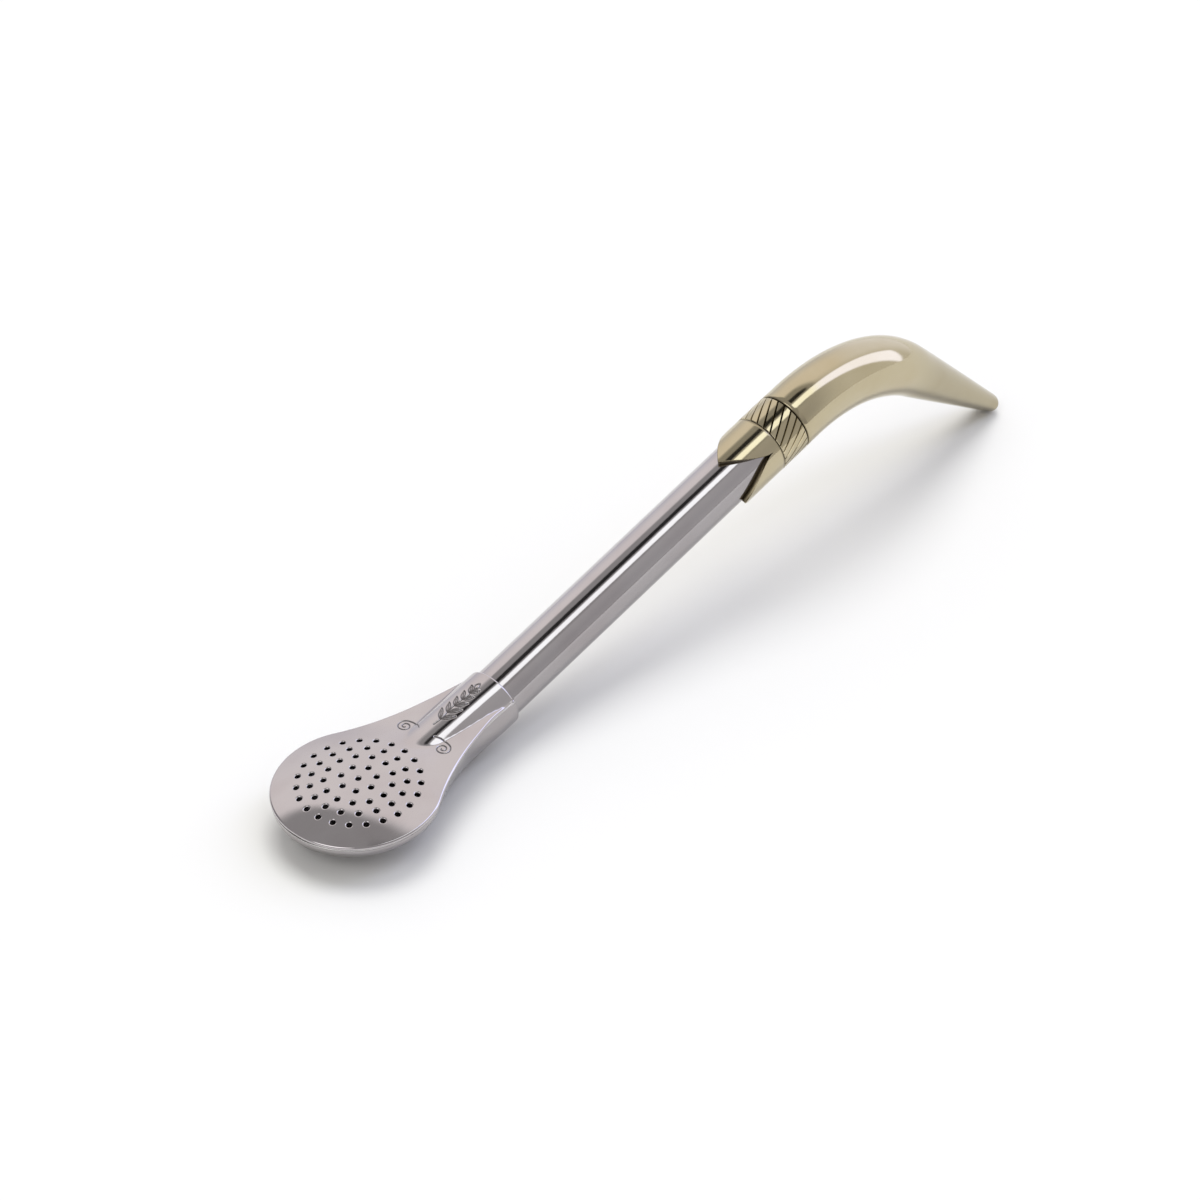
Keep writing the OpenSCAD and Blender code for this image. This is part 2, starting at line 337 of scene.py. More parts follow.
    @staticmethod
    def stain_and_shade(obj: bpy.types.Object, share: Callable[[Vector], float]) -> None:
        """Lay patina and painted shade by place.

        Args:
            obj: The object, still in millimetres.
            share: Gives the share of patina and painted shade, 0 to 1, for a point.
        """
        Bench.stain_and_shade_all(obj, [share(v.co) for v in obj.data.vertices])

    @staticmethod
    def place(obj: bpy.types.Object, name: str, matrix: Matrix, turn_out: bool = True) -> None:
        """Smooth a shape, put it in the part's frame and apply its place.

        Args:
            obj: The finished shape.
            name: Name of the piece.
            matrix: From millimetres to the part's frame.
            turn_out: Whether its normals are recalculated.
        """
        Bench.take(obj)
        if turn_out:
            Bench.open_all()
            bpy.ops.mesh.normals_make_consistent(inside=False)
            Bench.close()
        obj.matrix_world = matrix
        bpy.ops.object.transform_apply(location=True, rotation=True, scale=True)
        bpy.ops.object.shade_smooth_by_angle(angle=SMOOTH_ANGLE)
        obj.name = name
        obj.data.name = name


@dataclass(frozen=True)
class Wiring:
    """The nodes of one material or of the world."""

    tree: bpy.types.NodeTree

    def add(self, kind: str) -> bpy.types.Node:
        """Add a shader node of a kind."""
        return self.tree.nodes.new("ShaderNode" + kind)

    def link(self, start: bpy.types.NodeSocket, end: bpy.types.NodeSocket) -> None:
        """Join an output to an input."""
        self.tree.links.new(start, end)

    def mixed(self, under: Triple | bpy.types.NodeSocket, over: Triple | bpy.types.NodeSocket,
              share: bpy.types.NodeSocket) -> bpy.types.NodeSocket:
        """Lay one colour over another.

        Args:
            under: The colour below, as numbers or as an output.
            over: The colour above, as numbers or as an output.
            share: How much of the upper colour shows.

        Returns:
            The mixed colour.
        """
        node = self.add("Mix")
        node.data_type = "RGBA"
        for value, name in ((under, "A"), (over, "B")):
            if isinstance(value, tuple):
                node.inputs[name].default_value = (*value, 1)
            else:
                self.link(value, node.inputs[name])
        self.link(share, node.inputs["Factor"])
        return node.outputs["Result"]

    def ranged(self, value: bpy.types.NodeSocket, ends: Pair, to: Pair,
               eased: bool = False) -> bpy.types.NodeSocket:
        """Map a value from one range to another.

        Args:
            value: The value.
            ends: Low and high end of its range.
            to: What the two ends become.
            eased: Whether the way between them has level ends.

        Returns:
            The mapped value.
        """
        node = self.add("MapRange")
        if eased:
            node.interpolation_type = "SMOOTHSTEP"
        names = ("From Min", "From Max", "To Min", "To Max")
        for name, number in zip(names, (*ends, *to)):
            node.inputs[name].default_value = number
        self.link(value, node.inputs["Value"])
        return node.outputs["Result"]


@dataclass(frozen=True)
class MetalFinish:
    """A polished metal with fine rub marks, faint clouds, and dark patina and painted shade from a
    stored share.
    """

    name: str
    colour: Triple
    cloud: Triple
    dark: Triple
    rough: Pair
    rub_depth: float
    lean: float
    rub_scale: Triple = (160.0, 5200.0, 5200.0)
    rub_detail: float = 5.0
    rub_range: Pair = (0.35, 0.7)
    rub_strength: float = 0.25
    cloud_scale: Triple = (95.0, 140.0, 140.0)
    cloud_detail: float = 3.0
    cloud_range: Pair = (0.42, 0.68)
    patina_and_shade_dull: float = 0.3

    def make(self) -> bpy.types.Material:
        """Build the material.

        Returns:
            A procedural metal on object coordinates.
        """
        material = bpy.data.materials.new(self.name)
        material.use_nodes = True
        wires = Wiring(material.node_tree)
        shader = material.node_tree.nodes["Principled BSDF"]
        shader.inputs["Metallic"].default_value = 1.0
        coords = wires.add("TexCoord").outputs["Object"]
        rubs = self._noise(wires, coords, self.rub_scale, self.rub_detail)
        clouds = self._noise(wires, coords, self.cloud_scale, self.cloud_detail)
        patina = wires.add("Attribute")
        patina.attribute_name = PATINA_AND_SHADE
        share = patina.outputs["Fac"]

        cloudy = wires.ranged(clouds, self.cloud_range, (0.0, 1.0))
        tint = wires.mixed(self.colour, self.cloud, cloudy)
        # The stored share mixes in the dark colour: real patina in some places, painted shade in
        # others
        wires.link(wires.mixed(tint, self.dark, share), shader.inputs["Base Color"])

        dull = wires.add("Math")
        dull.operation = "MULTIPLY_ADD"
        dull.inputs[1].default_value = self.patina_and_shade_dull
        wires.link(share, dull.inputs[0])
        wires.link(wires.ranged(rubs, self.rub_range, self.rough), dull.inputs[2])
        wires.link(dull.outputs[0], shader.inputs["Roughness"])

        bump = wires.add("Bump")
        bump.inputs["Strength"].default_value = self.rub_strength
        bump.inputs["Distance"].default_value = self.rub_depth
        wires.link(rubs, bump.inputs["Height"])
        wires.link(bump.outputs["Normal"], shader.inputs["Normal"])
        return material

    def _noise(self, wires: Wiring, coords: bpy.types.NodeSocket, scale: Triple,
               detail: float) -> bpy.types.NodeSocket:
        """Add noise that is stretched along the stem.

        Args:
            wires: The material's wiring.
            coords: The object coordinates.
            scale: Scale along and across the stem, per metre.
            detail: Octaves of the noise.

        Returns:
            The noise's value.
        """
        mapping = wires.add("Mapping")
        mapping.inputs["Rotation"].default_value = (0, self.lean, 0)
        mapping.inputs["Scale"].default_value = scale
        noise = wires.add("TexNoise")
        noise.inputs["Scale"].default_value = 1.0
        noise.inputs["Detail"].default_value = detail
        wires.link(coords, mapping.inputs["Vector"])
        wires.link(mapping.outputs["Vector"], noise.inputs["Vector"])
        return noise.outputs["Fac"]


@dataclass
class Stem:
    """The straight tube between the strainer and the beak."""

    radius: float = 5.0
    bore: float = 4.2
    start: float = -12.0
    end: float = 82.2
    lip: float = 0.15
    lip_run: float = 0.05
    lip_drop: float = 0.045
    # Painted shade on the underside of the tube, darker toward its bottom
    under_painted_shade: float = 0.3
    under_from: float = 0.52
    under_run: float = 0.24
    sides: int = 128
    steps: int = 24

    def make_tube(self, matrix: Matrix) -> bpy.types.Object:
        """Draw the tube out along its axis, with rounded lips.

        Args:
            matrix: From the stem frame to the part's frame.

        Returns:
            The tube.
        """
        first, last = self.start + self.lip, self.end - self.lip
        places = [blend(first, last, i / self.steps) for i in range(self.steps + 1)]
        near, far = self.start + self.lip_run, self.end - self.lip_run
        outer, inner = self.radius - self.lip_drop, self.bore + self.lip_drop
        wall = [(self.start, self.radius - self.lip), (near, outer)]
        wall += [(x, self.radius) for x in places]
        wall += [(far, outer), (self.end, self.radius - self.lip),
                 (self.end, self.bore + self.lip), (far, inner)]
        wall += [(x, self.bore) for x in reversed(places)]
        wall += [(near, inner), (self.start, self.bore + self.lip)]

        def share(co: Vector) -> float:
            """Painted shade on the underside: darker toward the bottom."""
            return self.under_painted_shade * smooth((self.under_from - co.z / self.radius)
                                             / self.under_run)

        tube = Bench.draw([(x, r, r) for x, r in wall], self.sides)
        Bench.stain_and_shade(tube, share)
        Bench.place(tube, "stem_straight_tube", matrix)
        return tube


@dataclass
class Mouthpiece:
    """The brass on the stem: petalled ferrule, engraved band and curved beak."""

    radius: float = 5.95
    hole: float = 5.02
    # Ferrule, with even angles of its petals (marks) and where they fall (turns)
    ferrule_start: float = 60.8
    ferrule_len: float = 10.8
    petal_len: float = 9.0
    petal_curve: float = 1.5
    petal_count: int = 3
    petal_columns: int = 66
    petal_rows: int = 26
    petal_spread: float = 59.0
    petal_crowd: float = 1.4
    petal_bevel: float = 0.1
    petal_bevel_from: float = math.radians(50)
    petal_turns: tuple[float, ...] = (-225.0, -170.0, -113.0, -61.4, -4.7, 52.0, 95.0, 135.0)
    petal_marks: tuple[float, ...] = (0.0, 60.0, 120.0, 180.0, 240.0, 296.0, 304.0, 360.0)
    # Band
    band_len: float = 6.6
    band_grooves: int = 24
    groove_points: int = 8
    groove_depth: float = 0.35
    groove_slant: float = 29.0
    band_bevel: float = 0.3
    band_steps: int = 12
    # Beak
    beak_lead: float = 3.4
    beak_bend_r: float = 35.0
    beak_bend: float = 54.15
    beak_reach: float = 32.6
    beak_socket: float = 4.0
    taper_early: float = 0.23
    taper_soft: float = 0.1
    bore: float = 4.2
    tip_thick: float = 3.4
    tip_wide: float = 4.4
    tip_wall: float = 1.1
    tip_round: float = 0.9
    tip_steps: int = 9
    beak_rim: tuple[Pair, ...] = ((0.0, 0.26), (0.08, 0.12), (0.26, 0.0))
    beak_steps: int = 84
    passage_steps: int = 40
    passage_lead: float = 0.05
    beak_sides: int = 96
    # Patina at the joints and in the grooves, and painted shade on the reach and on the petals'
    # edges
    joint_stain: float = 0.22
    # Painted shade on the reach, darker toward the tip
    reach_painted_shade: float = 0.24
    reach_painted_shade_from: float = 24.0
    reach_painted_shade_run: float = 16.0
    stain_and_shade_lead: float = 0.02
    # Painted shade on the petals' edges: its run along the stem, and its least share on the
    # outside
    edge_painted_shade: float = 0.12
    edge_painted_shade_least: float = 0.5
    groove_stain: float = 1.1

    @property
    def band_start(self) -> float:
        """Place of the band along the stem."""
        return self.ferrule_start + self.ferrule_len

    @property
    def beak_start(self) -> float:
        """Place of the beak along the stem."""
        return self.band_start + self.band_len

    @property
    def bend_len(self) -> float:
        """Length of the beak's bend on its middle line."""
        return self.beak_bend_r * math.radians(self.beak_bend)

    @property
    def beak_len(self) -> float:
        """Length of the beak on its middle line."""
        return self.beak_lead + self.bend_len + self.beak_reach

    def make_ferrule(self, matrix: Matrix) -> bpy.types.Object:
        """Roll a sheet with pointed petals round the stem.

        Args:
            matrix: From the stem frame to the part's frame.

        Returns:
            The ferrule.
        """
        half = 180.0 / self.petal_count
        first = self.petal_turns[0]
        marks = self.petal_marks

        def edge(mark: float) -> float:
            """Place of the petals' edge at an even angle, where tips stand two halves apart."""
            off = abs((mark + half) % (2 * half) - half)
            return max(0.0, 1 - ((half - off) / self.petal_spread) ** (1 / self.petal_curve))

        def lay(across: float, along: float) -> Triple:
            """Find a point of the sleeve's outside.

            Args:
                across: Share of the way round the stem.
                along: Share of the way from the petals' edge to the band.

            Returns:
                The point in the stem frame.
            """
            mark = 360 * across
            start = self.ferrule_start + self.petal_len * edge(mark)
            x = blend(start, self.band_start, along ** self.petal_crowd)
            turn = math.radians(np.interp(mark, marks, self.petal_turns))
            return x, self.radius * math.sin(turn), self.radius * math.cos(turn)

        def share(co: Vector) -> float:
            """Find the painted shade on the petals' edges and the patina at the band.

            Args:
                co: Point of the sleeve.

            Returns:
                Share of patina and painted shade, 0 to 1.
            """
            turn = (math.degrees(math.atan2(co.y, co.z)) - first) % 360 + first
            start = self.ferrule_start + self.petal_len * edge(
                np.interp(turn, self.petal_turns, marks))
            low = (self.radius - math.hypot(co.y, co.z)) / (self.radius - self.hole)
            # Painted shade on the petals' cut edges, darker toward the inside of the sleeve
            wall = 1 - smooth((co.x - start - self.stain_and_shade_lead) / self.edge_painted_shade)
            wall *= blend(self.edge_painted_shade_least, 1.0, smooth(low))
            joint = 1 - smooth((self.band_start - co.x) / self.joint_stain)
            return max(wall, joint)

        sleeve = Bench.sheet(self.petal_count * self.petal_columns, self.petal_rows, lay)
        Bench.apply(sleeve, "SOLIDIFY", thickness=self.radius - self.hole, offset=-1.0)
        Bench.apply(sleeve, "BEVEL", width=self.petal_bevel, segments=2, limit_method="ANGLE",
                    angle_limit=self.petal_bevel_from, use_clamp_overlap=False)
        Bench.stain_and_shade(sleeve, share)
        Bench.place(sleeve, "mouthpiece_petal_ferrule", matrix)
        return sleeve

    def make_band(self, matrix: Matrix) -> bpy.types.Object:
        """Draw a notched ring along the stem while it turns, so that its notches slant.

        Args:
            matrix: From the stem frame to the part's frame.

        Returns:
            The band.
        """
        start, sides = self.band_start, self.band_grooves * self.groove_points
        rim = self.radius - self.groove_depth
        flat = self.band_len - 2 * self.band_bevel
        twist = flat * math.tan(math.radians(self.groove_slant)) / self.radius
        band = Bench.ring(self.hole, sides, start)
        Bench.pull(0)
        Bench.set_radius(band, rim)
        Bench.pull(self.band_bevel)
        Bench.set_radius(band, self.radius)
        Bench.set_radius(band, rim, self.groove_points)
        x = start + self.band_bevel
        for _ in range(self.band_steps):
            Bench.pull(flat / self.band_steps)
            x += flat / self.band_steps
            bpy.ops.transform.rotate(value=twist / self.band_steps, orient_axis="X",
                                     center_override=(x, 0, 0))
        Bench.pull(self.band_bevel)
        Bench.set_radius(band, rim)
        Bench.pull(0)
        Bench.set_radius(band, self.hole)
        Bench.join_loops()

        def share(co: Vector) -> float:
            """Patina in the grooves and at both rims."""
            depth = (self.radius - math.hypot(co.y, co.z)) / self.groove_depth
            return smooth(depth * self.groove_stain)

        Bench.stain_and_shade(band, share)
        Bench.place(band, "mouthpiece_engraved_band", matrix)
        return band

    def taper(self, end: float, s: float) -> float:
        """Half size of the beak, full at first and then drawn down to its end.

        Args:
            end: Half size at the tip.
            s: Distance along the middle line.

        Returns:
            The half size.
        """
        soft = self.radius * self.taper_soft
        length = self.beak_reach + self.taper_early * self.beak_bend_r
        other = end + (self.radius - end) * (self.beak_len - s) / length
        return (self.radius + other - math.hypot(self.radius - other, soft)) / 2

    def beak_stations(self) -> list[Triple]:
        """Rings of the straight beak: out along its outside, and back through its passage.

        Returns:
            Place along the middle line from the start of the bend, half thickness and half width.
        """
        def outside(s: float, inset: float) -> Triple:
            """One ring of the outside."""
            return (s - self.beak_lead, self.taper(self.tip_thick / 2, s) - inset,
                    self.taper(self.tip_wide / 2, s) - inset)

        def inside(s: float) -> Triple:
            """One ring of the passage."""
            return outside(s, blend(self.radius - self.bore, self.tip_wall, s / self.beak_len))

        rings = [outside(s, inset) for s, inset in self.beak_rim]
        first, body = self.beak_rim[-1][0], self.beak_len - self.tip_round
        rings += [outside(blend(first, body, i / self.beak_steps), 0)
                  for i in range(1, self.beak_steps + 1)]
        for i in range(1, self.tip_steps + 1):
            turn = math.pi / 2 * i / self.tip_steps
            rings.append(outside(body + self.tip_round * math.sin(turn),
                                 self.tip_round * (1 - math.cos(turn))))
        last = self.beak_len - self.passage_lead
        rings += [inside(blend(last, self.beak_socket, i / self.passage_steps))
                  for i in range(self.passage_steps + 1)]
        rings += [(self.beak_socket - self.beak_lead, self.hole, self.hole),
                  (-self.beak_lead, self.hole, self.hole)]
        return rings

    def make_beak(self, matrix: Matrix) -> bpy.types.Object:
        """Draw the beak straight, then bend it down.

        Args:
            matrix: From the stem frame to the part's frame.

        Returns:
            The beak.
        """
        def share(co: Vector) -> float:
            """Find the patina at the band and the painted shade on the reach to the tip.

            Args:
                co: Point of the beak while it is straight.

            Returns:
                Share of patina and painted shade, 0 to 1.
            """
            joint = 1 - smooth((co.x + self.beak_lead - self.stain_and_shade_lead) / self.joint_stain)
            # Painted shade on the reach, darker toward the tip
            reach = smooth((co.x - self.reach_painted_shade_from) / self.reach_painted_shade_run)
            return max(joint, self.reach_painted_shade * reach)

        beak = Bench.draw(self.beak_stations(), self.beak_sides)
        Bench.stain_and_shade(beak, share)
        straight_end = self.beak_lead / self.beak_len
        bend_end = (self.beak_lead + self.bend_len) / self.beak_len
        Bench.apply(beak, "SIMPLE_DEFORM", deform_method="BEND", deform_axis="Z",
                    angle=-math.radians(self.beak_bend), limits=(straight_end, bend_end))
        shift = Matrix.Translation((self.beak_start + self.beak_lead, 0, 0))
        Bench.place(beak, "mouthpiece_beak", matrix @ shift @ Matrix.Rotation(math.pi / 2, 4, "X"))
        return beak


@dataclass(frozen=True)
class Sprig:
    """An engraved leaf sprig along the neck, with a scroll on each side of its foot."""

    foot: float = 15.0
    head: float = 4.6
    sway: float = 0.16
    sway_rate: float = 0.9
    leaf_pairs: int = 5
    first_leaf: float = 1.6
    leaf_gap: float = 1.9
    leaf_len: float = 2.3
    len_loss: float = 0.16
    leaf_reach: float = 1.75
    reach_loss: float = 0.17
    leaf_bows: Pair = (-0.32, 0.34)
    bow_lean: float = 0.6
    vein: float = 0.7
    bud_len: float = 1.5
    bud_half: float = 0.42
    scroll_at: Pair = (17.6, 4.6)
    scroll_r: float = 1.5
    scroll_turn: float = 3.3 * math.pi
    scroll_loss: float = 0.25
    tail_bow: Pair = (-0.8, 1.5)
    tail_reach: float = 2.7
    stalk_points: int = 60
    leaf_points: int = 14
    scroll_points: int = 70
    tail_points: int = 24

    def lines(self) -> list[np.ndarray]:
        """Draw the sprig.

        Returns:
            Polylines on the plan of the plate.
        """
        run = np.linspace(self.foot, self.head, self.stalk_points)
        lines = [np.c_[run, self.sway * np.sin((self.foot - run) * self.sway_rate)]]
        for side in (-1, 1):
            for k in range(self.leaf_pairs):
                lines += self.leaf(k, side)
            lines += self.scroll(side)
            bow = np.linspace(0, 1, self.leaf_points)
            lines.append(np.c_[self.head - self.bud_len * bow,
                               side * self.bud_half * np.sin(np.pi * bow)])
        return lines

    def leaf(self, k: int, side: int) -> list[np.ndarray]:
        """Draw the two edges and the vein of a leaf.

        Args:
            k: Number of the leaf, counted from the foot.
            side: Side of the stalk, -1 or 1.

        Returns:
            Three polylines.
        """
        bow = np.linspace(0, 1, self.leaf_points)
        belly = np.sin(np.pi * bow)
        base = self.foot - self.first_leaf - self.leaf_gap * k
        length = self.leaf_len - self.len_loss * k
        reach = side * (self.leaf_reach - self.reach_loss * k)
        lines = [np.c_[base - length * bow + out * belly,
                       reach * bow + side * self.bow_lean * out * belly] for out in self.leaf_bows]
        return lines + [np.c_[base - self.vein * length * bow, self.vein * reach * bow]]

    def scroll(self, side: int) -> list[np.ndarray]:
        """Draw a scroll and the tail that joins it to the foot.

        Args:
            side: Side of the stalk, -1 or 1.

        Returns:
            Two polylines.
        """
        at_u, at_v = self.scroll_at
        turn = np.linspace(0, self.scroll_turn, self.scroll_points)
        radius = self.scroll_r * (1 - self.scroll_loss * turn / math.pi)
        tail = np.linspace(0, 1, self.tail_points)
        bow = self.tail_bow[0] * tail + self.tail_bow[1] * tail ** 2
        return [np.c_[at_u - radius * np.cos(turn), side * (at_v + radius * np.sin(turn))],
                np.c_[at_u - self.scroll_r + bow, side * (at_v - self.tail_reach * tail)]]


@dataclass(frozen=True)
class Rim:
    """A loop that bounds the flat of the plate, and the rounded edge beyond it.

    Attributes:
        points: Places on the plan, one row each.
        outward: Way from the flat over the edge at each place.
        reach: Distance from the flat to the edge.
        depth: Depth of the rounding.
    """

    points: np.ndarray
    outward: np.ndarray
    reach: float
    depth: float


@dataclass
class Strainer:
    """The spoon: perforated plate, bowl and the solder in their seam."""

    sheet: float = 0.6
    # Bowl, with the narrow flat along its back
    bowl_r: float = 15.0
    bowl_dist: float = 34.5
    bowl_depth: float = 6.4
    bowl_skirt: float = 0.5
    back_flat: float = 0.08
    flat_fade: Pair = (0.3, 1.9)
    # Neck and seam
    bend: float = math.radians(9.6)
    ridge_bend: float = math.radians(6.1)
    seam_rise: float = 2.1
    solder: float = 0.3
    neck_r: float = 5.65
    neck_least: float = 0.02
    # Pillow of the plate
    crown: float = 1.9
    crown_run: float = 17.0
    crown_soft: float = 0.14
    press_from: float = 0.1
    press_to: float = 0.9
    lift_from: float = -0.5
    lift_run: float = 7.0
    # Change from the round neck to the oval spoon
    socket_u: float = 8.0
    spread_from: float = 2.0
    spread_u: float = 16.0
    # Edges
    lip: float = 0.3
    crease: float = 0.16
    edge_round: float = 0.42
    edge_step: float = 0.3
    rim_steps: int = 5
    rim_break: Pair = (0.12, 0.08)
    overhang: float = 0.35
    overhang_from: float = 4.0
    overhang_run: float = 8.0
    # Painted shade on the back, and painted shade inside the bowl and the socket
    back_painted_shade: float = 0.26
    inner_painted_shades: Pair = (0.25, 0.9)
    inner_from: float = 12.0
    inner_run: float = 4.0
    inner_depth: float = 0.46
    # Strainer holes
    hole_r: float = 0.5
    hole_round: float = 0.28
    hole_drop: float = 0.8
    hole_points: int = 28
    pattern_dist: float = 33.8
    ring_radii: tuple[float, ...] = (3.2, 6.1, 8.5, 10.9)
    ring_counts: tuple[int, ...] = (7, 13, 17, 23)
    ring_turns: tuple[float, ...] = (-14.5, 7.4, 2.3, 4.6)
    # Engraving
    cut_width: float = 0.2
    cut_depth: float = 0.13
    cut_stain: float = 0.9
    cut_margin: float = 0.5
    sprig: Sprig = Sprig()
    # Mesh of the plate, finest at the sprig and the scrolls
    mouth_points: int = 72
    mouth_rounds: int = 8
    mesh_from: float = -1.0
    mesh_steps: tuple[float, ...] = (0.1, 0.11, 0.24, 0.48)
    mesh_gaps: tuple[float, ...] = (0.1, 0.1, 0.16, 0.3)
    sprig_box: tuple[float, ...] = (2.6, 15.6, -1.0, 2.5)
    scroll_box: tuple[float, ...] = (15.6, 19.6, 1.6, 6.5)
    neck_box: tuple[float, ...] = (-math.inf, 22.0, -1.0, 6.4)
    # Mesh of the bowl
    bowl_cells: tuple[int, int] = (100, 150)
    bowl_hem: float = 0.04
    lip_share: float = 0.04
    neck_share: float = 0.6
    # Solder bead, with its section as way out and share of its depth
    bead_step: float = 0.4
    bead_section: tuple[Pair, ...] = (
        (-0.55, 0.0), (-0.06, 0.0), (0.0, 0.1), (0.035, 0.3), (0.045, 0.5), (0.035, 0.7),
        (0.0, 0.9), (-0.06, 1.0), (-0.55, 1.0), (-0.55, 0.0))

    def __post_init__(self) -> None:
        """Work out the outline's curves, the stem's line under the seam and the engraved lines."""
        low = self.seam_rise - self.solder
        self.neck_half = math.sqrt(self.neck_r ** 2 - low ** 2)
        self.flare_r = ((self.bowl_dist ** 2 + self.neck_half ** 2 - self.bowl_r ** 2)
                        / (2 * (self.bowl_r - self.neck_half)))
        self.flare_v = self.neck_half + self.flare_r
        self.flare_end = self.bowl_dist * (1 - self.bowl_r / (self.bowl_r + self.flare_r))
        self.axis_w0 = -self.seam_rise * math.cos(self.bend)
        self.axis_u0 = self.axis_w0 * math.tan(self.bend)
        self.cuts = self.sprig.lines()

    def half_width(self, u: np.ndarray) -> np.ndarray:
        """Find the half width of the outline.

        Args:
            u: Places along the seam.

        Returns:
            The half width at each place.
        """
        flare = self.flare_v - np.sqrt(np.maximum(self.flare_r ** 2 - u * u, 0))
        end = np.sqrt(np.maximum(self.bowl_r ** 2 - (u - self.bowl_dist) ** 2, 0))
        return np.where(u < self.flare_end, flare, end)

    def outline(self, step: float) -> np.ndarray:
        """Points of the outline from the collar round the spoon and back to the collar.

        Args:
            step: Distance between points.

        Returns:
            Places on the seam, one row each.
        """
        meet = math.asin(self.flare_end / self.flare_r)
        count = int(self.flare_r * meet / step)
        turns = np.linspace(0, meet, count)
        flank = np.c_[self.flare_r * np.sin(turns), self.flare_r * np.cos(turns) - self.flare_v]
        first = math.atan2(-math.cos(meet), -math.sin(meet))
        count = int(self.bowl_r * -2 * first / step)
        turns = np.linspace(first, -first, count)[1:-1]
        end = np.c_[self.bowl_dist + self.bowl_r * np.cos(turns), self.bowl_r * np.sin(turns)]
        return np.vstack([flank, end, flank[::-1] * (1, -1)])

    def top(self, u: np.ndarray, v: np.ndarray) -> np.ndarray:
        """Find the plate's height: a pillow with the half-round neck sunk into it.

        Args:
            u: Places along the seam.
            v: Places across it.

        Returns:
            The height over the seam at each place.
        """
        # Share of the way out to the edge, and how far that way points to the spoon's end
        off = np.maximum(u - self.bowl_dist, 0)
        past = np.maximum(np.hypot(off, v), LEAST)
        forward = off / past
        wide = np.maximum(self.half_width(np.minimum(u, self.bowl_dist)), TINY)
        share = np.where(off > 0, past / self.bowl_r, np.abs(v) / wide)
        # Drop of the pillow: a parabola to the sides, a flat middle and a slope to the end
        run = self.press_to - self.press_from
        press = np.clip((share - self.press_from) / run, 0, 1)
        press = run * (press ** 3 - press ** 4 / 2) + np.maximum(share - self.press_to, 0)
        press /= run / 2 + 1 - self.press_to
        drop = share ** 2 + (press - share ** 2) * forward
        # Height of the pillow, which fades toward the neck
        climb = 1 - (np.minimum(u - self.bowl_dist, 0) / self.crown_run) ** 2
        rise = self.crown * (climb + np.hypot(climb, self.crown_soft)) / 2
        lift = self.sheet * smooth_all((u - self.lift_from) / self.lift_run)
        pillow = lift + rise * (1 - drop)
        # The round of the neck, met in a soft crease
        axis_w = self.axis_w0 - (u - self.axis_u0) * math.tan(self.ridge_bend)
        round_w = np.sqrt(np.maximum(self.neck_r ** 2 - v * v, self.neck_least))
        ridge = axis_w + round_w / math.cos(self.ridge_bend)
        return (pillow + ridge + np.hypot(pillow - ridge, self.crease)) / 2

    def inner_painted_shade(self, u: np.ndarray) -> np.ndarray:
        """Painted shade of the inside: darkest deep in the bowl and lighter in the socket."""
        return blend(*self.inner_painted_shades, smooth_all((u - self.inner_from) / self.inner_run))

    def lean_of_top(self, u: np.ndarray, v: np.ndarray) -> np.ndarray:
        """Find the outward direction of the plate.

        Args:
            u: Places along the seam.
            v: Places across it.

        Returns:
            The direction at each place, one row each.
        """
        by_u = (self.top(u + TINY, v) - self.top(u - TINY, v)) / (2 * TINY)
        by_v = (self.top(u, v + TINY) - self.top(u, v - TINY)) / (2 * TINY)
        out = np.c_[-by_u, -by_v, np.ones_like(u)]
        return out / np.linalg.norm(out, axis=1)[:, None]

    def engraving(self, u: np.ndarray, v: np.ndarray) -> np.ndarray:
        """Find how deep the engraving is.

        Args:
            u: Places along the seam.
            v: Places across it.

        Returns:
            Share of the full depth at each place.
        """
        nearest = np.full(u.shape, np.inf)
        for line in self.cuts:
            low, high = line.min(0) - self.cut_margin, line.max(0) + self.cut_margin
            near = np.flatnonzero((u > low[0]) & (u < high[0]) & (v > low[1]) & (v < high[1]))
            if not near.size:
                continue
            point = np.c_[u[near], v[near]][:, None, :]
            a, along = line[None, :-1, :], (line[1:] - line[:-1])[None]
            share = ((point - a) * along).sum(2) / np.maximum((along ** 2).sum(2), LEAST)
            gap = point - a - np.clip(share, 0, 1)[..., None] * along
            nearest[near] = np.minimum(nearest[near], np.sqrt((gap ** 2).sum(2)).min(1))
        return smooth_all(1 - nearest / self.cut_width)

    def hole_centres(self) -> np.ndarray:
        """Place the strainer holes: one in the middle, and four rings.

        Returns:
            Their middles on the plan, one row each.
        """
        places = [(self.pattern_dist, 0.0)]
        for radius, count, turn in zip(self.ring_radii, self.ring_counts, self.ring_turns):
            for i in range(count):
                angle = math.radians(turn + 360 * i / count)
                places.append((self.pattern_dist + radius * math.cos(angle),
                               radius * math.sin(angle)))
        return np.array(places)

    def mouth(self, half: float) -> np.ndarray:
        """Points across the collar's mouth, from one side of the plate to the other.

        Args:
            half: Half width of the plate there.

        Returns:
            Places on the plan that lie in the mouth's plane.
        """
        v = half * np.cos(np.linspace(0, math.pi, self.mouth_points)[1:-1])
        u = np.zeros_like(v)
        for _ in range(self.mouth_rounds):
            u = self.top(u, v) * math.tan(self.bend)
        return np.c_[u, v]

    @staticmethod
    def lattice(low: Pair, high: Pair, step: float) -> np.ndarray:
        """Evenly spread points in a rectangle.

        Args:
            low: Lowest corner.
            high: Highest corner.
            step: Distance between points.

        Returns:
            The points, in staggered rows.
        """
        rows = []
        for k, y in enumerate(np.arange(low[1], high[1], step * math.sqrt(3) / 2)):
            x = np.arange(low[0] + (k % 2) * step / 2, high[0], step)
            rows.append(np.c_[x, np.full(len(x), y)])
        return np.vstack(rows)

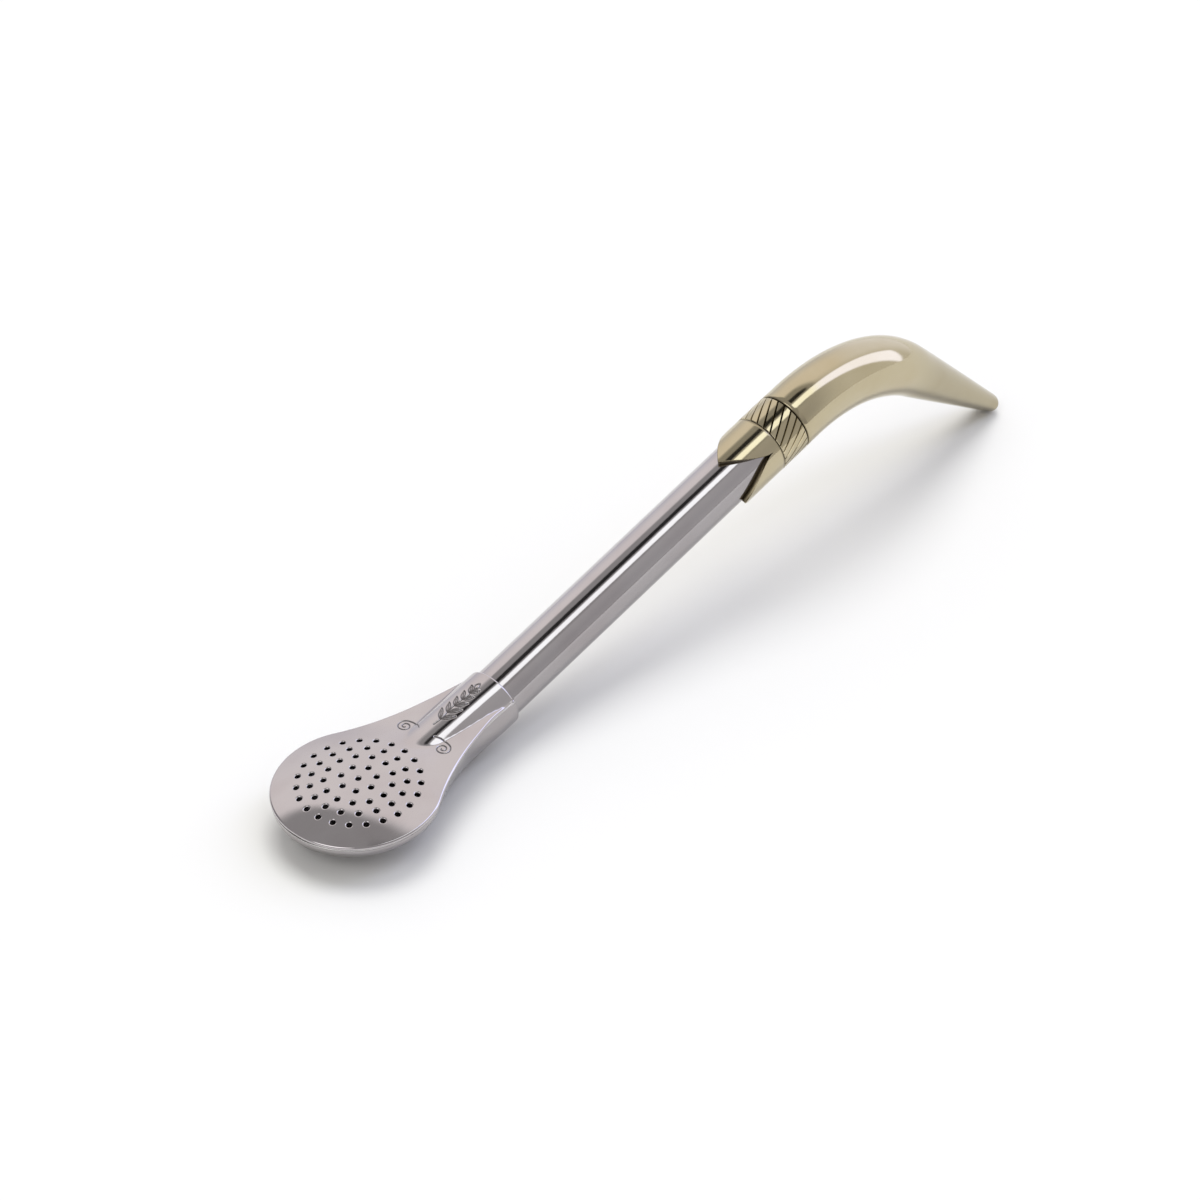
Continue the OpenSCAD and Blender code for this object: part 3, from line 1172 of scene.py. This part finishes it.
    def filling(self, centres: np.ndarray) -> np.ndarray:
        """Points inside the plate, closer together where it is engraved or tightly curved.

        Args:
            centres: Middles of the holes.

        Returns:
            The points.
        """
        def within(p: np.ndarray, box: tuple[float, ...]) -> np.ndarray:
            """Whether points lie in a box along the seam and the same one on its other side."""
            along, across = p[:, 0], np.abs(p[:, 1])
            return (along > box[0]) & (along < box[1]) & (across > box[2]) & (across < box[3])

        sprig, scroll, neck = self.sprig_box, self.scroll_box, self.neck_box
        boxes = ((sprig[0], sprig[1], sprig[3]), (scroll[0], scroll[1], scroll[3]),
                 (self.mesh_from, neck[1], neck[3]),
                 (self.mesh_from, self.bowl_dist + self.bowl_r, self.bowl_r))
        leaves, curls, ridge, wide = (
            self.lattice((low, -half), (high, half), step)
            for (low, high, half), step in zip(boxes, self.mesh_steps))
        curls = curls[within(curls, scroll)]
        ridge = ridge[~within(ridge, sprig) & ~within(ridge, scroll)]
        wide = wide[~within(wide, neck)]
        parts = (leaves, curls, ridge, wide)
        points = np.vstack(parts)
        gap = np.repeat(self.mesh_gaps, [len(part) for part in parts])
        inset = self.edge_round + gap
        u, v = points.T
        past = np.hypot(u - self.bowl_dist, v)
        start = self.top(np.zeros_like(u), v) * math.tan(self.bend)
        keep = (u > start + inset) & np.where(u > self.flare_end, past < self.bowl_r - inset,
                                              np.abs(v) < self.half_width(u) - inset)
        for centre in centres:
            keep &= np.hypot(u - centre[0], v - centre[1]) > self.hole_r + self.hole_round + gap
        return points[keep]

    def rim_rows(self, reach: float, top_round: float) -> list[Pair]:
        """Rows from the plate's top over a rounded edge to its underside.

        Args:
            reach: Distance from the flat to the edge.
            top_round: Depth of the rounding.

        Returns:
            Way out from the flat, and depth, for each row.
        """
        turns = [math.pi / 2 * (k + 1) / self.rim_steps for k in range(self.rim_steps)]
        rows = [(reach * math.sin(t), -top_round * (1 - math.cos(t))) for t in turns]
        rise, back = self.rim_break
        return rows + [(reach, rise - self.sheet), (reach - back, -self.sheet)]

    def rims(self, centres: np.ndarray) -> list[Rim]:
        """Lay the loops that bound the flat of the plate.

        Args:
            centres: Middles of the holes.

        Returns:
            The loop along the outline, then one round each hole.
        """
        edge = self.outline(self.edge_step)
        edge = np.vstack([edge, self.mouth(edge[-1, 1])])
        ahead, behind = np.roll(edge, -1, 0), np.roll(edge, 1, 0)
        along = (ahead - behind) / np.linalg.norm(ahead - behind, axis=1)[:, None]
        outward = np.c_[along[:, 1], -along[:, 0]]
        past = smooth_all((edge[:, 0] - self.overhang_from) / self.overhang_run)
        past *= self.overhang * np.abs(outward[:, 1])
        edge = edge + outward * past[:, None]
        rims = [Rim(edge - outward * self.edge_round, outward, self.edge_round, self.edge_round)]
        turns = np.linspace(0, 2 * math.pi, self.hole_points, endpoint=False)
        circle = np.c_[np.cos(turns), -np.sin(turns)]
        for centre in centres:
            rims.append(Rim(centre + circle * (self.hole_r + self.hole_round), -circle,
                            self.hole_round, self.hole_round * self.hole_drop))
        return rims

    @staticmethod
    def flat_mesh(rims: list[Rim],
                  filling: np.ndarray) -> tuple[np.ndarray, Faces, list[list[int]]]:
        """Mesh the flat of the plate between its rims.

        Args:
            rims: The loop along the outline, then one round each hole.
            filling: Points between them.

        Returns:
            The points on the plan, the faces, and the numbers of each rim's points.
        """
        points, bounds = [], []
        for rim in rims:
            start, size = len(points), len(rim.points)
            points.extend(rim.points)
            bounds += [(start + i, start + (i + 1) % size) for i in range(size)]
        points.extend(filling)
        spots, _, faces, origin, _, _ = geometry.delaunay_2d_cdt(
            [Vector(p) for p in points], bounds, [], INSIDE_BOUNDS, LEAST)
        new_index = {old: new for new, olds in enumerate(origin) for old in olds}
        loops, start = [], 0
        for rim in rims:
            stop = start + len(rim.points)
            loops.append([new_index[i] for i in range(start, stop)])
            start = stop
        # A face with all its corners on the rim of one hole would close that hole
        hole_of = {i: k for k, loop in enumerate(loops[1:]) for i in loop}
        corners = [{hole_of.get(i, -1 - i) for i in face} for face in faces]
        kept = [tuple(face) for face, holes in zip(faces, corners) if len(holes) > 1]
        return np.array([tuple(p) for p in spots]), kept, loops

    def closed_skin(self, rims: list[Rim], flat: np.ndarray, faces: Faces,
                    loops: list[list[int]]) -> tuple[np.ndarray, np.ndarray, Faces]:
        """Lay the underside below the flat and join the two over the rims.

        Args:
            rims: The loops that bound the flat.
            flat: Points of the flat on the plan.
            faces: Its faces.
            loops: Numbers of each rim's points.

        Returns:
            All points on the plan, the place of each through the sheet, which is 0 on top and
            negative below, and all faces.
        """
        count = len(flat)
        plan = [flat, flat]
        depth = [np.zeros(count), np.full(count, -self.sheet)]
        skin = faces + [tuple(count + i for i in reversed(face)) for face in faces]
        total = 2 * count
        for rim, loop in zip(rims, loops):
            size, rows = len(loop), [loop]
            for out, down in self.rim_rows(rim.reach, rim.depth):
                plan.append(rim.points + rim.outward * out)
                depth.append(np.full(size, down))
                rows.append(list(range(total, total + size)))
                total += size
            rows.append([count + i for i in loop])
            for upper, lower in zip(rows, rows[1:]):
                for i in range(size):
                    j = (i + 1) % size
                    skin.append((upper[j], upper[i], lower[i], lower[j]))
        return np.vstack(plan), np.concatenate(depth), skin

    def make_plate(self, matrix: Matrix) -> bpy.types.Object:
        """Mesh the flat plate round its holes, then press it to its form.

        Args:
            matrix: From the head frame to the part's frame.

        Returns:
            The perforated plate.
        """
        centres = self.hole_centres()
        rims = self.rims(centres)
        flat, faces, loops = self.flat_mesh(rims, self.filling(centres))
        plan, depth, skin = self.closed_skin(rims, flat, faces, loops)
        u, v = plan.T
        out = self.lean_of_top(u, v)
        on_top = depth > -TINY
        cut = self.engraving(u, v) * on_top
        pressed = np.c_[u, v, self.top(u, v)] + out * (depth - cut * self.cut_depth)[:, None]
        Bench.clear()
        mesh = bpy.data.meshes.new("plate")
        mesh.from_pydata(pressed.tolist(), [], skin)
        plate = bpy.data.objects.new("plate", mesh)
        bpy.context.scene.collection.objects.link(plate)
        # Painted shade on the plate's underside, inside the bowl and the socket
        inside = np.where(depth < -self.inner_depth, self.inner_painted_shade(u), 0.0)
        Bench.stain_and_shade_all(plate, np.maximum(cut * self.cut_stain, inside))
        Bench.place(plate, "strainer_perforated_plate", matrix, turn_out=False)

        # The plain faces take the formula's normals, and a zero leaves the others as they are
        turn = np.array(matrix.to_3x3().normalized())
        given = np.zeros((len(plan), 3))
        plain = np.flatnonzero(on_top & (cut < TINY))
        given[plain] = out[plain] @ turn.T
        under = slice(len(flat), 2 * len(flat))
        given[under] = -out[under] @ turn.T
        plate.data.normals_split_custom_set_from_vertices(given.tolist())
        return plate

    def bowl_floor(self, u: float) -> float:
        """Find the height of the bowl's underside on its middle line.

        Args:
            u: Place along the seam.

        Returns:
            The height over the seam, which is negative.
        """
        def socket(at: float) -> float:
            """Underside of the plain round neck."""
            return (self.axis_w0 - (at - self.axis_u0) * math.tan(self.bend)
                    - self.neck_r / math.cos(self.bend))

        if u < self.socket_u:
            return socket(u)
        if u < self.bowl_dist:
            run = self.bowl_dist - self.socket_u
            t = (u - self.socket_u) / run
            return ((2 * t ** 3 - 3 * t * t + 1) * socket(self.socket_u)
                    - (t ** 3 - 2 * t * t + t) * math.tan(self.bend) * run
                    - (3 * t * t - 2 * t ** 3) * self.bowl_depth)
        rest = min((u - self.bowl_dist) / self.bowl_r, 1.0)
        return -self.bowl_skirt - (self.bowl_depth - self.bowl_skirt) * math.sqrt(1 - rest * rest)

    def bowl_point(self, u: float, across: float) -> Triple:
        """Point of the bowl's outside.

        Args:
            u: Place along the seam.
            across: Share of the way round the section, from rim to rim.

        Returns:
            The point in the head frame.
        """
        half = float(self.half_width(np.array(u)))
        axis_w = self.axis_w0 - (u - self.axis_u0) * math.tan(self.bend)
        side = 1 if across < 0.5 else -1
        from_rim = min(across, 1 - across)
        # The oval section of the spoon
        turn = max(0.0, (from_rim - self.bowl_hem) / (0.5 - self.bowl_hem)) * math.pi / 2
        wall_w = blend(-self.solder, -self.bowl_skirt, min(from_rim / self.bowl_hem, 1))
        oval_v = half * math.cos(turn)
        oval_w = wall_w - (-self.bowl_skirt - self.bowl_floor(u)) * math.sin(turn)
        # The round section of the neck, with its rounded lip
        lip = max(0.0, self.lip - max(u, 0.0))
        radius = self.neck_r - self.lip + math.sqrt(self.lip ** 2 - lip ** 2)
        rim_turn = math.asin(min(1.0, max(-1.0, (-self.solder - axis_w) / radius)))
        angle = blend(rim_turn, -math.pi / 2, from_rim * 2)
        round_v, round_w = radius * math.cos(angle), axis_w + radius * math.sin(angle)
        t = smooth((u - self.spread_from) / (self.spread_u - self.spread_from))
        v, w = blend(round_v, oval_v, t), blend(round_w, oval_w, t)
        # The narrow flat along the back
        flat = self.back_flat * smooth(u / self.socket_u)
        if flat > 0:
            floor = self.bowl_floor(u)
            rise = (w - floor) / (-self.solder - floor)
            start, run = self.flat_fade
            w = floor + (w - floor) * smooth((rise / flat - start) / run)
        return u + w * math.tan(self.bend) * (1 - smooth(u / self.socket_u)), side * v, w

    def make_bowl(self, matrix: Matrix) -> bpy.types.Object:
        """Lay a sheet over the bowl's sections and give it its wall.

        Args:
            matrix: From the head frame to the part's frame.

        Returns:
            The bowl.
        """
        lip_share, neck_share = self.lip_share, self.neck_share

        def lay(across: float, along: float) -> Triple:
            """Find a point of the sheet.

            Args:
                across: Share of the way round a section, from rim to rim.
                along: Share of the way from the collar to the spoon's end.

            Returns:
                The point in the head frame.
            """
            if along < lip_share:
                u = self.lip * (along / lip_share) ** 2
            elif along < neck_share:
                u = blend(self.lip, self.bowl_dist, (along - lip_share) / (neck_share - lip_share))
            else:
                turn = (1 - along) / (1 - neck_share) * math.pi / 2
                u = self.bowl_dist + self.bowl_r * math.cos(turn)
            return self.bowl_point(u, across)

        bowl = Bench.sheet(*self.bowl_cells, lay)
        outside = len(bowl.data.vertices)
        Bench.apply(bowl, "SOLIDIFY", thickness=self.sheet, offset=-1.0)
        along = np.array([v.co.x for v in bowl.data.vertices])
        # Painted shade: the whole outside evenly darker, and the inside darker deep in the bowl
        Bench.stain_and_shade_all(bowl, np.where(np.arange(len(along)) < outside, self.back_painted_shade,
                                       self.inner_painted_shade(along)))
        Bench.place(bowl, "strainer_bowl_back", matrix, turn_out=False)
        return bowl

    def make_seam(self, matrix: Matrix) -> bpy.types.Object:
        """Run a bead of solder along the seam.

        Args:
            matrix: From the head frame to the part's frame.

        Returns:
            The bead.
        """
        path = self.outline(self.bead_step)
        along = np.gradient(path, axis=0)
        along /= np.linalg.norm(along, axis=1)[:, None]
        outward = np.c_[along[:, 1], -along[:, 0]]
        section, last = self.bead_section, len(path) - 1

        def lay(across: float, along_share: float) -> Triple:
            """Find a point of the bead's surface.

            Args:
                across: Share of the way round the bead's section.
                along_share: Share of the way round the spoon.

            Returns:
                The point in the head frame.
            """
            out, depth = section[round(across * (len(section) - 1))]
            k = round(along_share * last)
            u, v = path[k] + outward[k] * out
            return u, v, -self.solder * depth

        bead = Bench.sheet(len(section) - 1, last, lay)
        Bench.take(bead)
        Bench.open_all()
        bpy.ops.mesh.fill_holes(sides=0)
        Bench.close()
        Bench.place(bead, "strainer_solder_bead", matrix)
        return bead


@dataclass(frozen=True)
class PhotoCamera:
    """The camera at the photograph's place."""

    elevation: float = 37.8604
    azimuth: float = -47.3402
    roll: float = 0.5353
    distance: float = 1.2
    focal_px: float = 6800.0
    frame_px: float = 1200.0
    collar_px: Pair = (495.3, 696.0)
    sensor_mm: float = 36.0
    clip_end: float = 20.0

    def make(self, collar: Vector) -> bpy.types.Object:
        """Set up the camera so that the collar falls on its place in the picture.

        Args:
            collar: Middle of the collar's mouth, in metres.

        Returns:
            The camera.
        """
        el, az, roll = (math.radians(a) for a in (self.elevation, self.azimuth, self.roll))
        back = Vector((math.sin(az) * math.cos(el), -math.cos(az) * math.cos(el), math.sin(el)))
        level = Vector((math.cos(az), math.sin(az), 0))
        right = level * math.cos(roll) + back.cross(level) * math.sin(roll)
        up = back.cross(right)
        half = self.frame_px / 2
        off_x = (self.collar_px[0] - half) / self.focal_px
        off_y = (self.collar_px[1] - half) / self.focal_px
        place = collar - (right * off_x - up * off_y - back) * self.distance
        data = bpy.data.cameras.new("photo_camera")
        data.sensor_width = self.sensor_mm
        data.lens = self.sensor_mm * self.focal_px / self.frame_px
        data.clip_end = self.clip_end
        camera = bpy.data.objects.new("photo_camera", data)
        bpy.context.scene.collection.objects.link(camera)
        camera.matrix_world = Matrix((
            (right.x, up.x, back.x, place.x), (right.y, up.y, back.y, place.y),
            (right.z, up.z, back.z, place.z), (0, 0, 0, 1)))
        bpy.context.scene.camera = camera
        return camera


@dataclass
class Studio:
    """Pale floor, soft light round it and one soft key lamp."""

    # Floor
    floor_size: float = 6.0
    floor_drop: float = 0.00005
    floor_tone: Pair = (0.832, 0.857)
    floor_tint: Triple = (1.0, 0.999, 0.97)
    floor_rough: float = 0.9
    floor_grain: float = 3.0
    # Key lamp
    key_strength: float = 1.32
    key_soft: float = math.radians(36)
    key_to: Triple = (0.276, 0.282, 0.92)
    # Tones of the room
    back: Triple = (1.091, 1.038, 1.021)
    low_back: Triple = (0.818, 0.818, 0.88)
    far_back: Triple = (1.118, 1.126, 1.25)
    left: Triple = (0.334, 0.326, 0.334)
    front: Triple = (0.581, 0.572, 0.576)
    low_front: Triple = (0.405, 0.4, 0.418)
    far_front: Triple = (0.845, 0.836, 0.818)
    ceiling: Triple = (0.422, 0.414, 0.414)
    far_ceiling: Triple = (0.836, 0.818, 0.818)
    strip: Triple = (1.85, 1.93, 1.95)
    far_strip: Triple = (1.804, 1.892, 2.552)
    fill: float = 2.0
    fill_to: Triple = (-0.68, -0.03, 0.73)
    fill_edge: Pair = (0.935, 0.962)
    card: Triple = (0.03, 0.03, 0.03)
    # Edges of the tones: a way, and where along it a tone starts and is full
    front_rise: Edge = (ALONG_Z, 0.0, 0.9)
    front_far: Edge = (ALONG_X, 0.25, 0.65)
    back_rise: Edge = (ALONG_Z, 0.0, 0.65)
    back_far: Edge = (ALONG_X, 0.58, 0.8)
    back_from_left: Edge = (ALONG_X, -0.12, 0.12)
    back_from_front: Edge = (ALONG_Y, -0.25, 0.2)
    ceiling_far: Edge = ((1.0, 0.3, 0.0), 0.34, 0.43)
    ceiling_edge: Edge = ((-0.6, 0.0, 1.0), 0.65, 0.735)
    strip_far: Edge = (ALONG_X, 0.3, 0.45)
    card_edges: tuple[Edge, ...] = (
        (ALONG_X, 0.31, 0.28), (ALONG_X, 0.09, 0.13), (ALONG_Y, -0.08, -0.04),
        (ALONG_Y, 0.23, 0.15), ((1.2, 1.0, 0.0), 0.455, 0.375), (ALONG_Z, 0.8, 0.85))
    strip_edges: tuple[Edge, ...] = (
        ((0.06, 1.0, 0.0), -0.44, -0.37), ((-0.09, 1.0, 0.0), -0.13, -0.2),
        ((0.0, 1.0, -1.2), -0.37, -0.43), (ALONG_X, -0.1, 0.0))

    def make_floor(self) -> bpy.types.Object:
        """Lay the floor.

        Returns:
            The floor.
        """
        Bench.clear()
        bpy.ops.mesh.primitive_plane_add(size=self.floor_size, location=(0, 0, -self.floor_drop))
        floor = bpy.context.object
        floor.name = "studio_floor"
        material = bpy.data.materials.new("pale_floor")
        material.use_nodes = True
        wires = Wiring(material.node_tree)
        shader = material.node_tree.nodes["Principled BSDF"]
        shader.inputs["Roughness"].default_value = self.floor_rough
        shader.inputs["Specular IOR Level"].default_value = 0.0
        noise = wires.add("TexNoise")
        noise.inputs["Scale"].default_value = self.floor_grain
        wires.link(wires.add("TexCoord").outputs["Object"], noise.inputs["Vector"])
        low, high = (tuple(level * part for part in self.floor_tint) for level in self.floor_tone)
        wires.link(wires.mixed(low, high, noise.outputs["Fac"]), shader.inputs["Base Color"])
        floor.data.materials.append(material)
        return floor

    def make_key(self) -> bpy.types.Object:
        """Hang the soft key lamp behind the part.

        Returns:
            The lamp.
        """
        data = bpy.data.lights.new("soft_key", "SUN")
        data.energy = self.key_strength
        data.angle = self.key_soft
        lamp = bpy.data.objects.new("soft_key", data)
        bpy.context.scene.collection.objects.link(lamp)
        lamp.rotation_euler = Vector(self.key_to).to_track_quat("Z", "Y").to_euler()
        lamp.visible_glossy = False
        return lamp

    def make_walls(self) -> None:
        """Paint the room's soft light on the world by direction."""
        world = bpy.data.worlds.new("soft_room")
        bpy.context.scene.world = world
        world.use_nodes = True
        wires = Wiring(world.node_tree)
        toward = wires.add("TexCoord").outputs["Generated"]

        def ramp(way: Triple, low: float, high: float) -> bpy.types.NodeSocket:
            """Ease from 0 at one place along a way to 1 at another.

            Args:
                way: Direction in the room.
                low: Place along it where the result is 0.
                high: Place along it where the result is 1.

            Returns:
                The eased value.
            """
            node = wires.add("VectorMath")
            node.operation = "DOT_PRODUCT"
            node.inputs[1].default_value = way
            wires.link(toward, node.inputs[0])
            ends, to = ((low, high), (0.0, 1.0)) if low < high else ((high, low), (1.0, 0.0))
            return wires.ranged(node.outputs["Value"], ends, to, eased=True)

        def area(edges: tuple[Edge, ...]) -> bpy.types.NodeSocket:
            """Find what lies inside all of some edges.

            Args:
                edges: A way and its two places for each edge.

            Returns:
                A mask that is 1 inside.
            """
            result = ramp(*edges[0])
            for edge in edges[1:]:
                node = wires.add("Math")
                node.operation = "MULTIPLY"
                wires.link(result, node.inputs[0])
                wires.link(ramp(*edge), node.inputs[1])
                result = node.outputs[0]
            return result

        front = wires.mixed(self.low_front, self.front, ramp(*self.front_rise))
        front = wires.mixed(front, self.far_front, ramp(*self.front_far))
        back = wires.mixed(self.low_back, self.back, ramp(*self.back_rise))
        back = wires.mixed(back, self.far_back, ramp(*self.back_far))
        back = wires.mixed(self.left, back, ramp(*self.back_from_left))
        walls = wires.mixed(front, back, ramp(*self.back_from_front))
        ceiling = wires.mixed(self.ceiling, self.far_ceiling, ramp(*self.ceiling_far))
        room = wires.mixed(walls, ceiling, ramp(*self.ceiling_edge))
        room = wires.mixed(room, self.card, area(self.card_edges))
        strip = wires.mixed(self.strip, self.far_strip, ramp(*self.strip_far))
        room = wires.mixed(room, strip, area(self.strip_edges))
        fill_way = tuple(Vector(self.fill_to).normalized())
        room = wires.mixed(room, (self.fill,) * 3, ramp(fill_way, *self.fill_edge))
        wires.link(room, world.node_tree.nodes["Background"].inputs["Color"])


def join_frame(piece: bpy.types.Object, node: str, body: Body, slot: Slot,
               finish: bpy.types.Material) -> None:
    """Dress a piece, let it stand for its solid and let it ride on its body.

    Args:
        piece: The finished piece.
        node: The solid that it replaces.
        body: The body that it rides on.
        slot: The record's slot for its finish; not used.
        finish: Its material.
    """
    piece.data.materials.clear()
    piece.data.materials.append(finish)
    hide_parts(node)
    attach(piece, body.value)
    log.info("%s: %d faces", piece.name, len(piece.data.polygons))


def main() -> None:
    """Build the strainer, the stem and the mouthpiece, and set up the studio."""
    logging.basicConfig(level=logging.INFO, format="%(name)s: %(message)s")
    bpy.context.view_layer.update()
    placing = Placing.from_frame(frame, GRIP_X)
    strainer, stem, mouthpiece = Strainer(), Stem(), Mouthpiece()
    at_stem = placing.stem()
    at_head = placing.head(strainer.seam_rise, strainer.bend)

    nickel_silver = MetalFinish(
        "nickel_silver_polish", colour=(0.517, 0.489, 0.495), cloud=(0.489, 0.455, 0.461),
        dark=(0.06, 0.055, 0.052), rough=(0.06, 0.1), rub_depth=6e-6, lean=placing.lean).make()
    solder = MetalFinish(
        "bright_solder", colour=(0.636, 0.619, 0.608), cloud=(0.568, 0.551, 0.54),
        dark=(0.1, 0.09, 0.08), rough=(0.12, 0.2), rub_depth=8e-6, lean=placing.lean).make()
    brass = MetalFinish(
        "pale_brass_polish", colour=(0.528, 0.466, 0.322), cloud=(0.5, 0.432, 0.286),
        dark=(0.05, 0.035, 0.012), rough=(0.07, 0.11), rub_depth=6e-6, lean=placing.lean).make()

    join_frame(strainer.make_plate(at_head), "strainer_plate", Body.STRAINER, Slot.NICKEL_SILVER,
               nickel_silver)
    join_frame(strainer.make_bowl(at_head), "strainer_bowl", Body.STRAINER, Slot.NICKEL_SILVER,
               nickel_silver)
    join_frame(strainer.make_seam(at_head), "seam_solder", Body.STRAINER, Slot.SILVER_SOLDER,
               solder)
    join_frame(stem.make_tube(at_stem), "stem_tube", Body.STRAW, Slot.NICKEL_SILVER, nickel_silver)
    join_frame(mouthpiece.make_ferrule(at_stem), "petal_ferrule", Body.STRAW, Slot.BRASS, brass)
    join_frame(mouthpiece.make_band(at_stem), "twist_band", Body.STRAW, Slot.BRASS, brass)
    join_frame(mouthpiece.make_beak(at_stem), "beak", Body.STRAW, Slot.BRASS, brass)

    studio = Studio()
    studio.make_floor()
    studio.make_key()
    studio.make_walls()
    PhotoCamera().make(placing.collar)
    bpy.context.scene.view_settings.view_transform = "Standard"


if __name__ == "__main__":
    main()
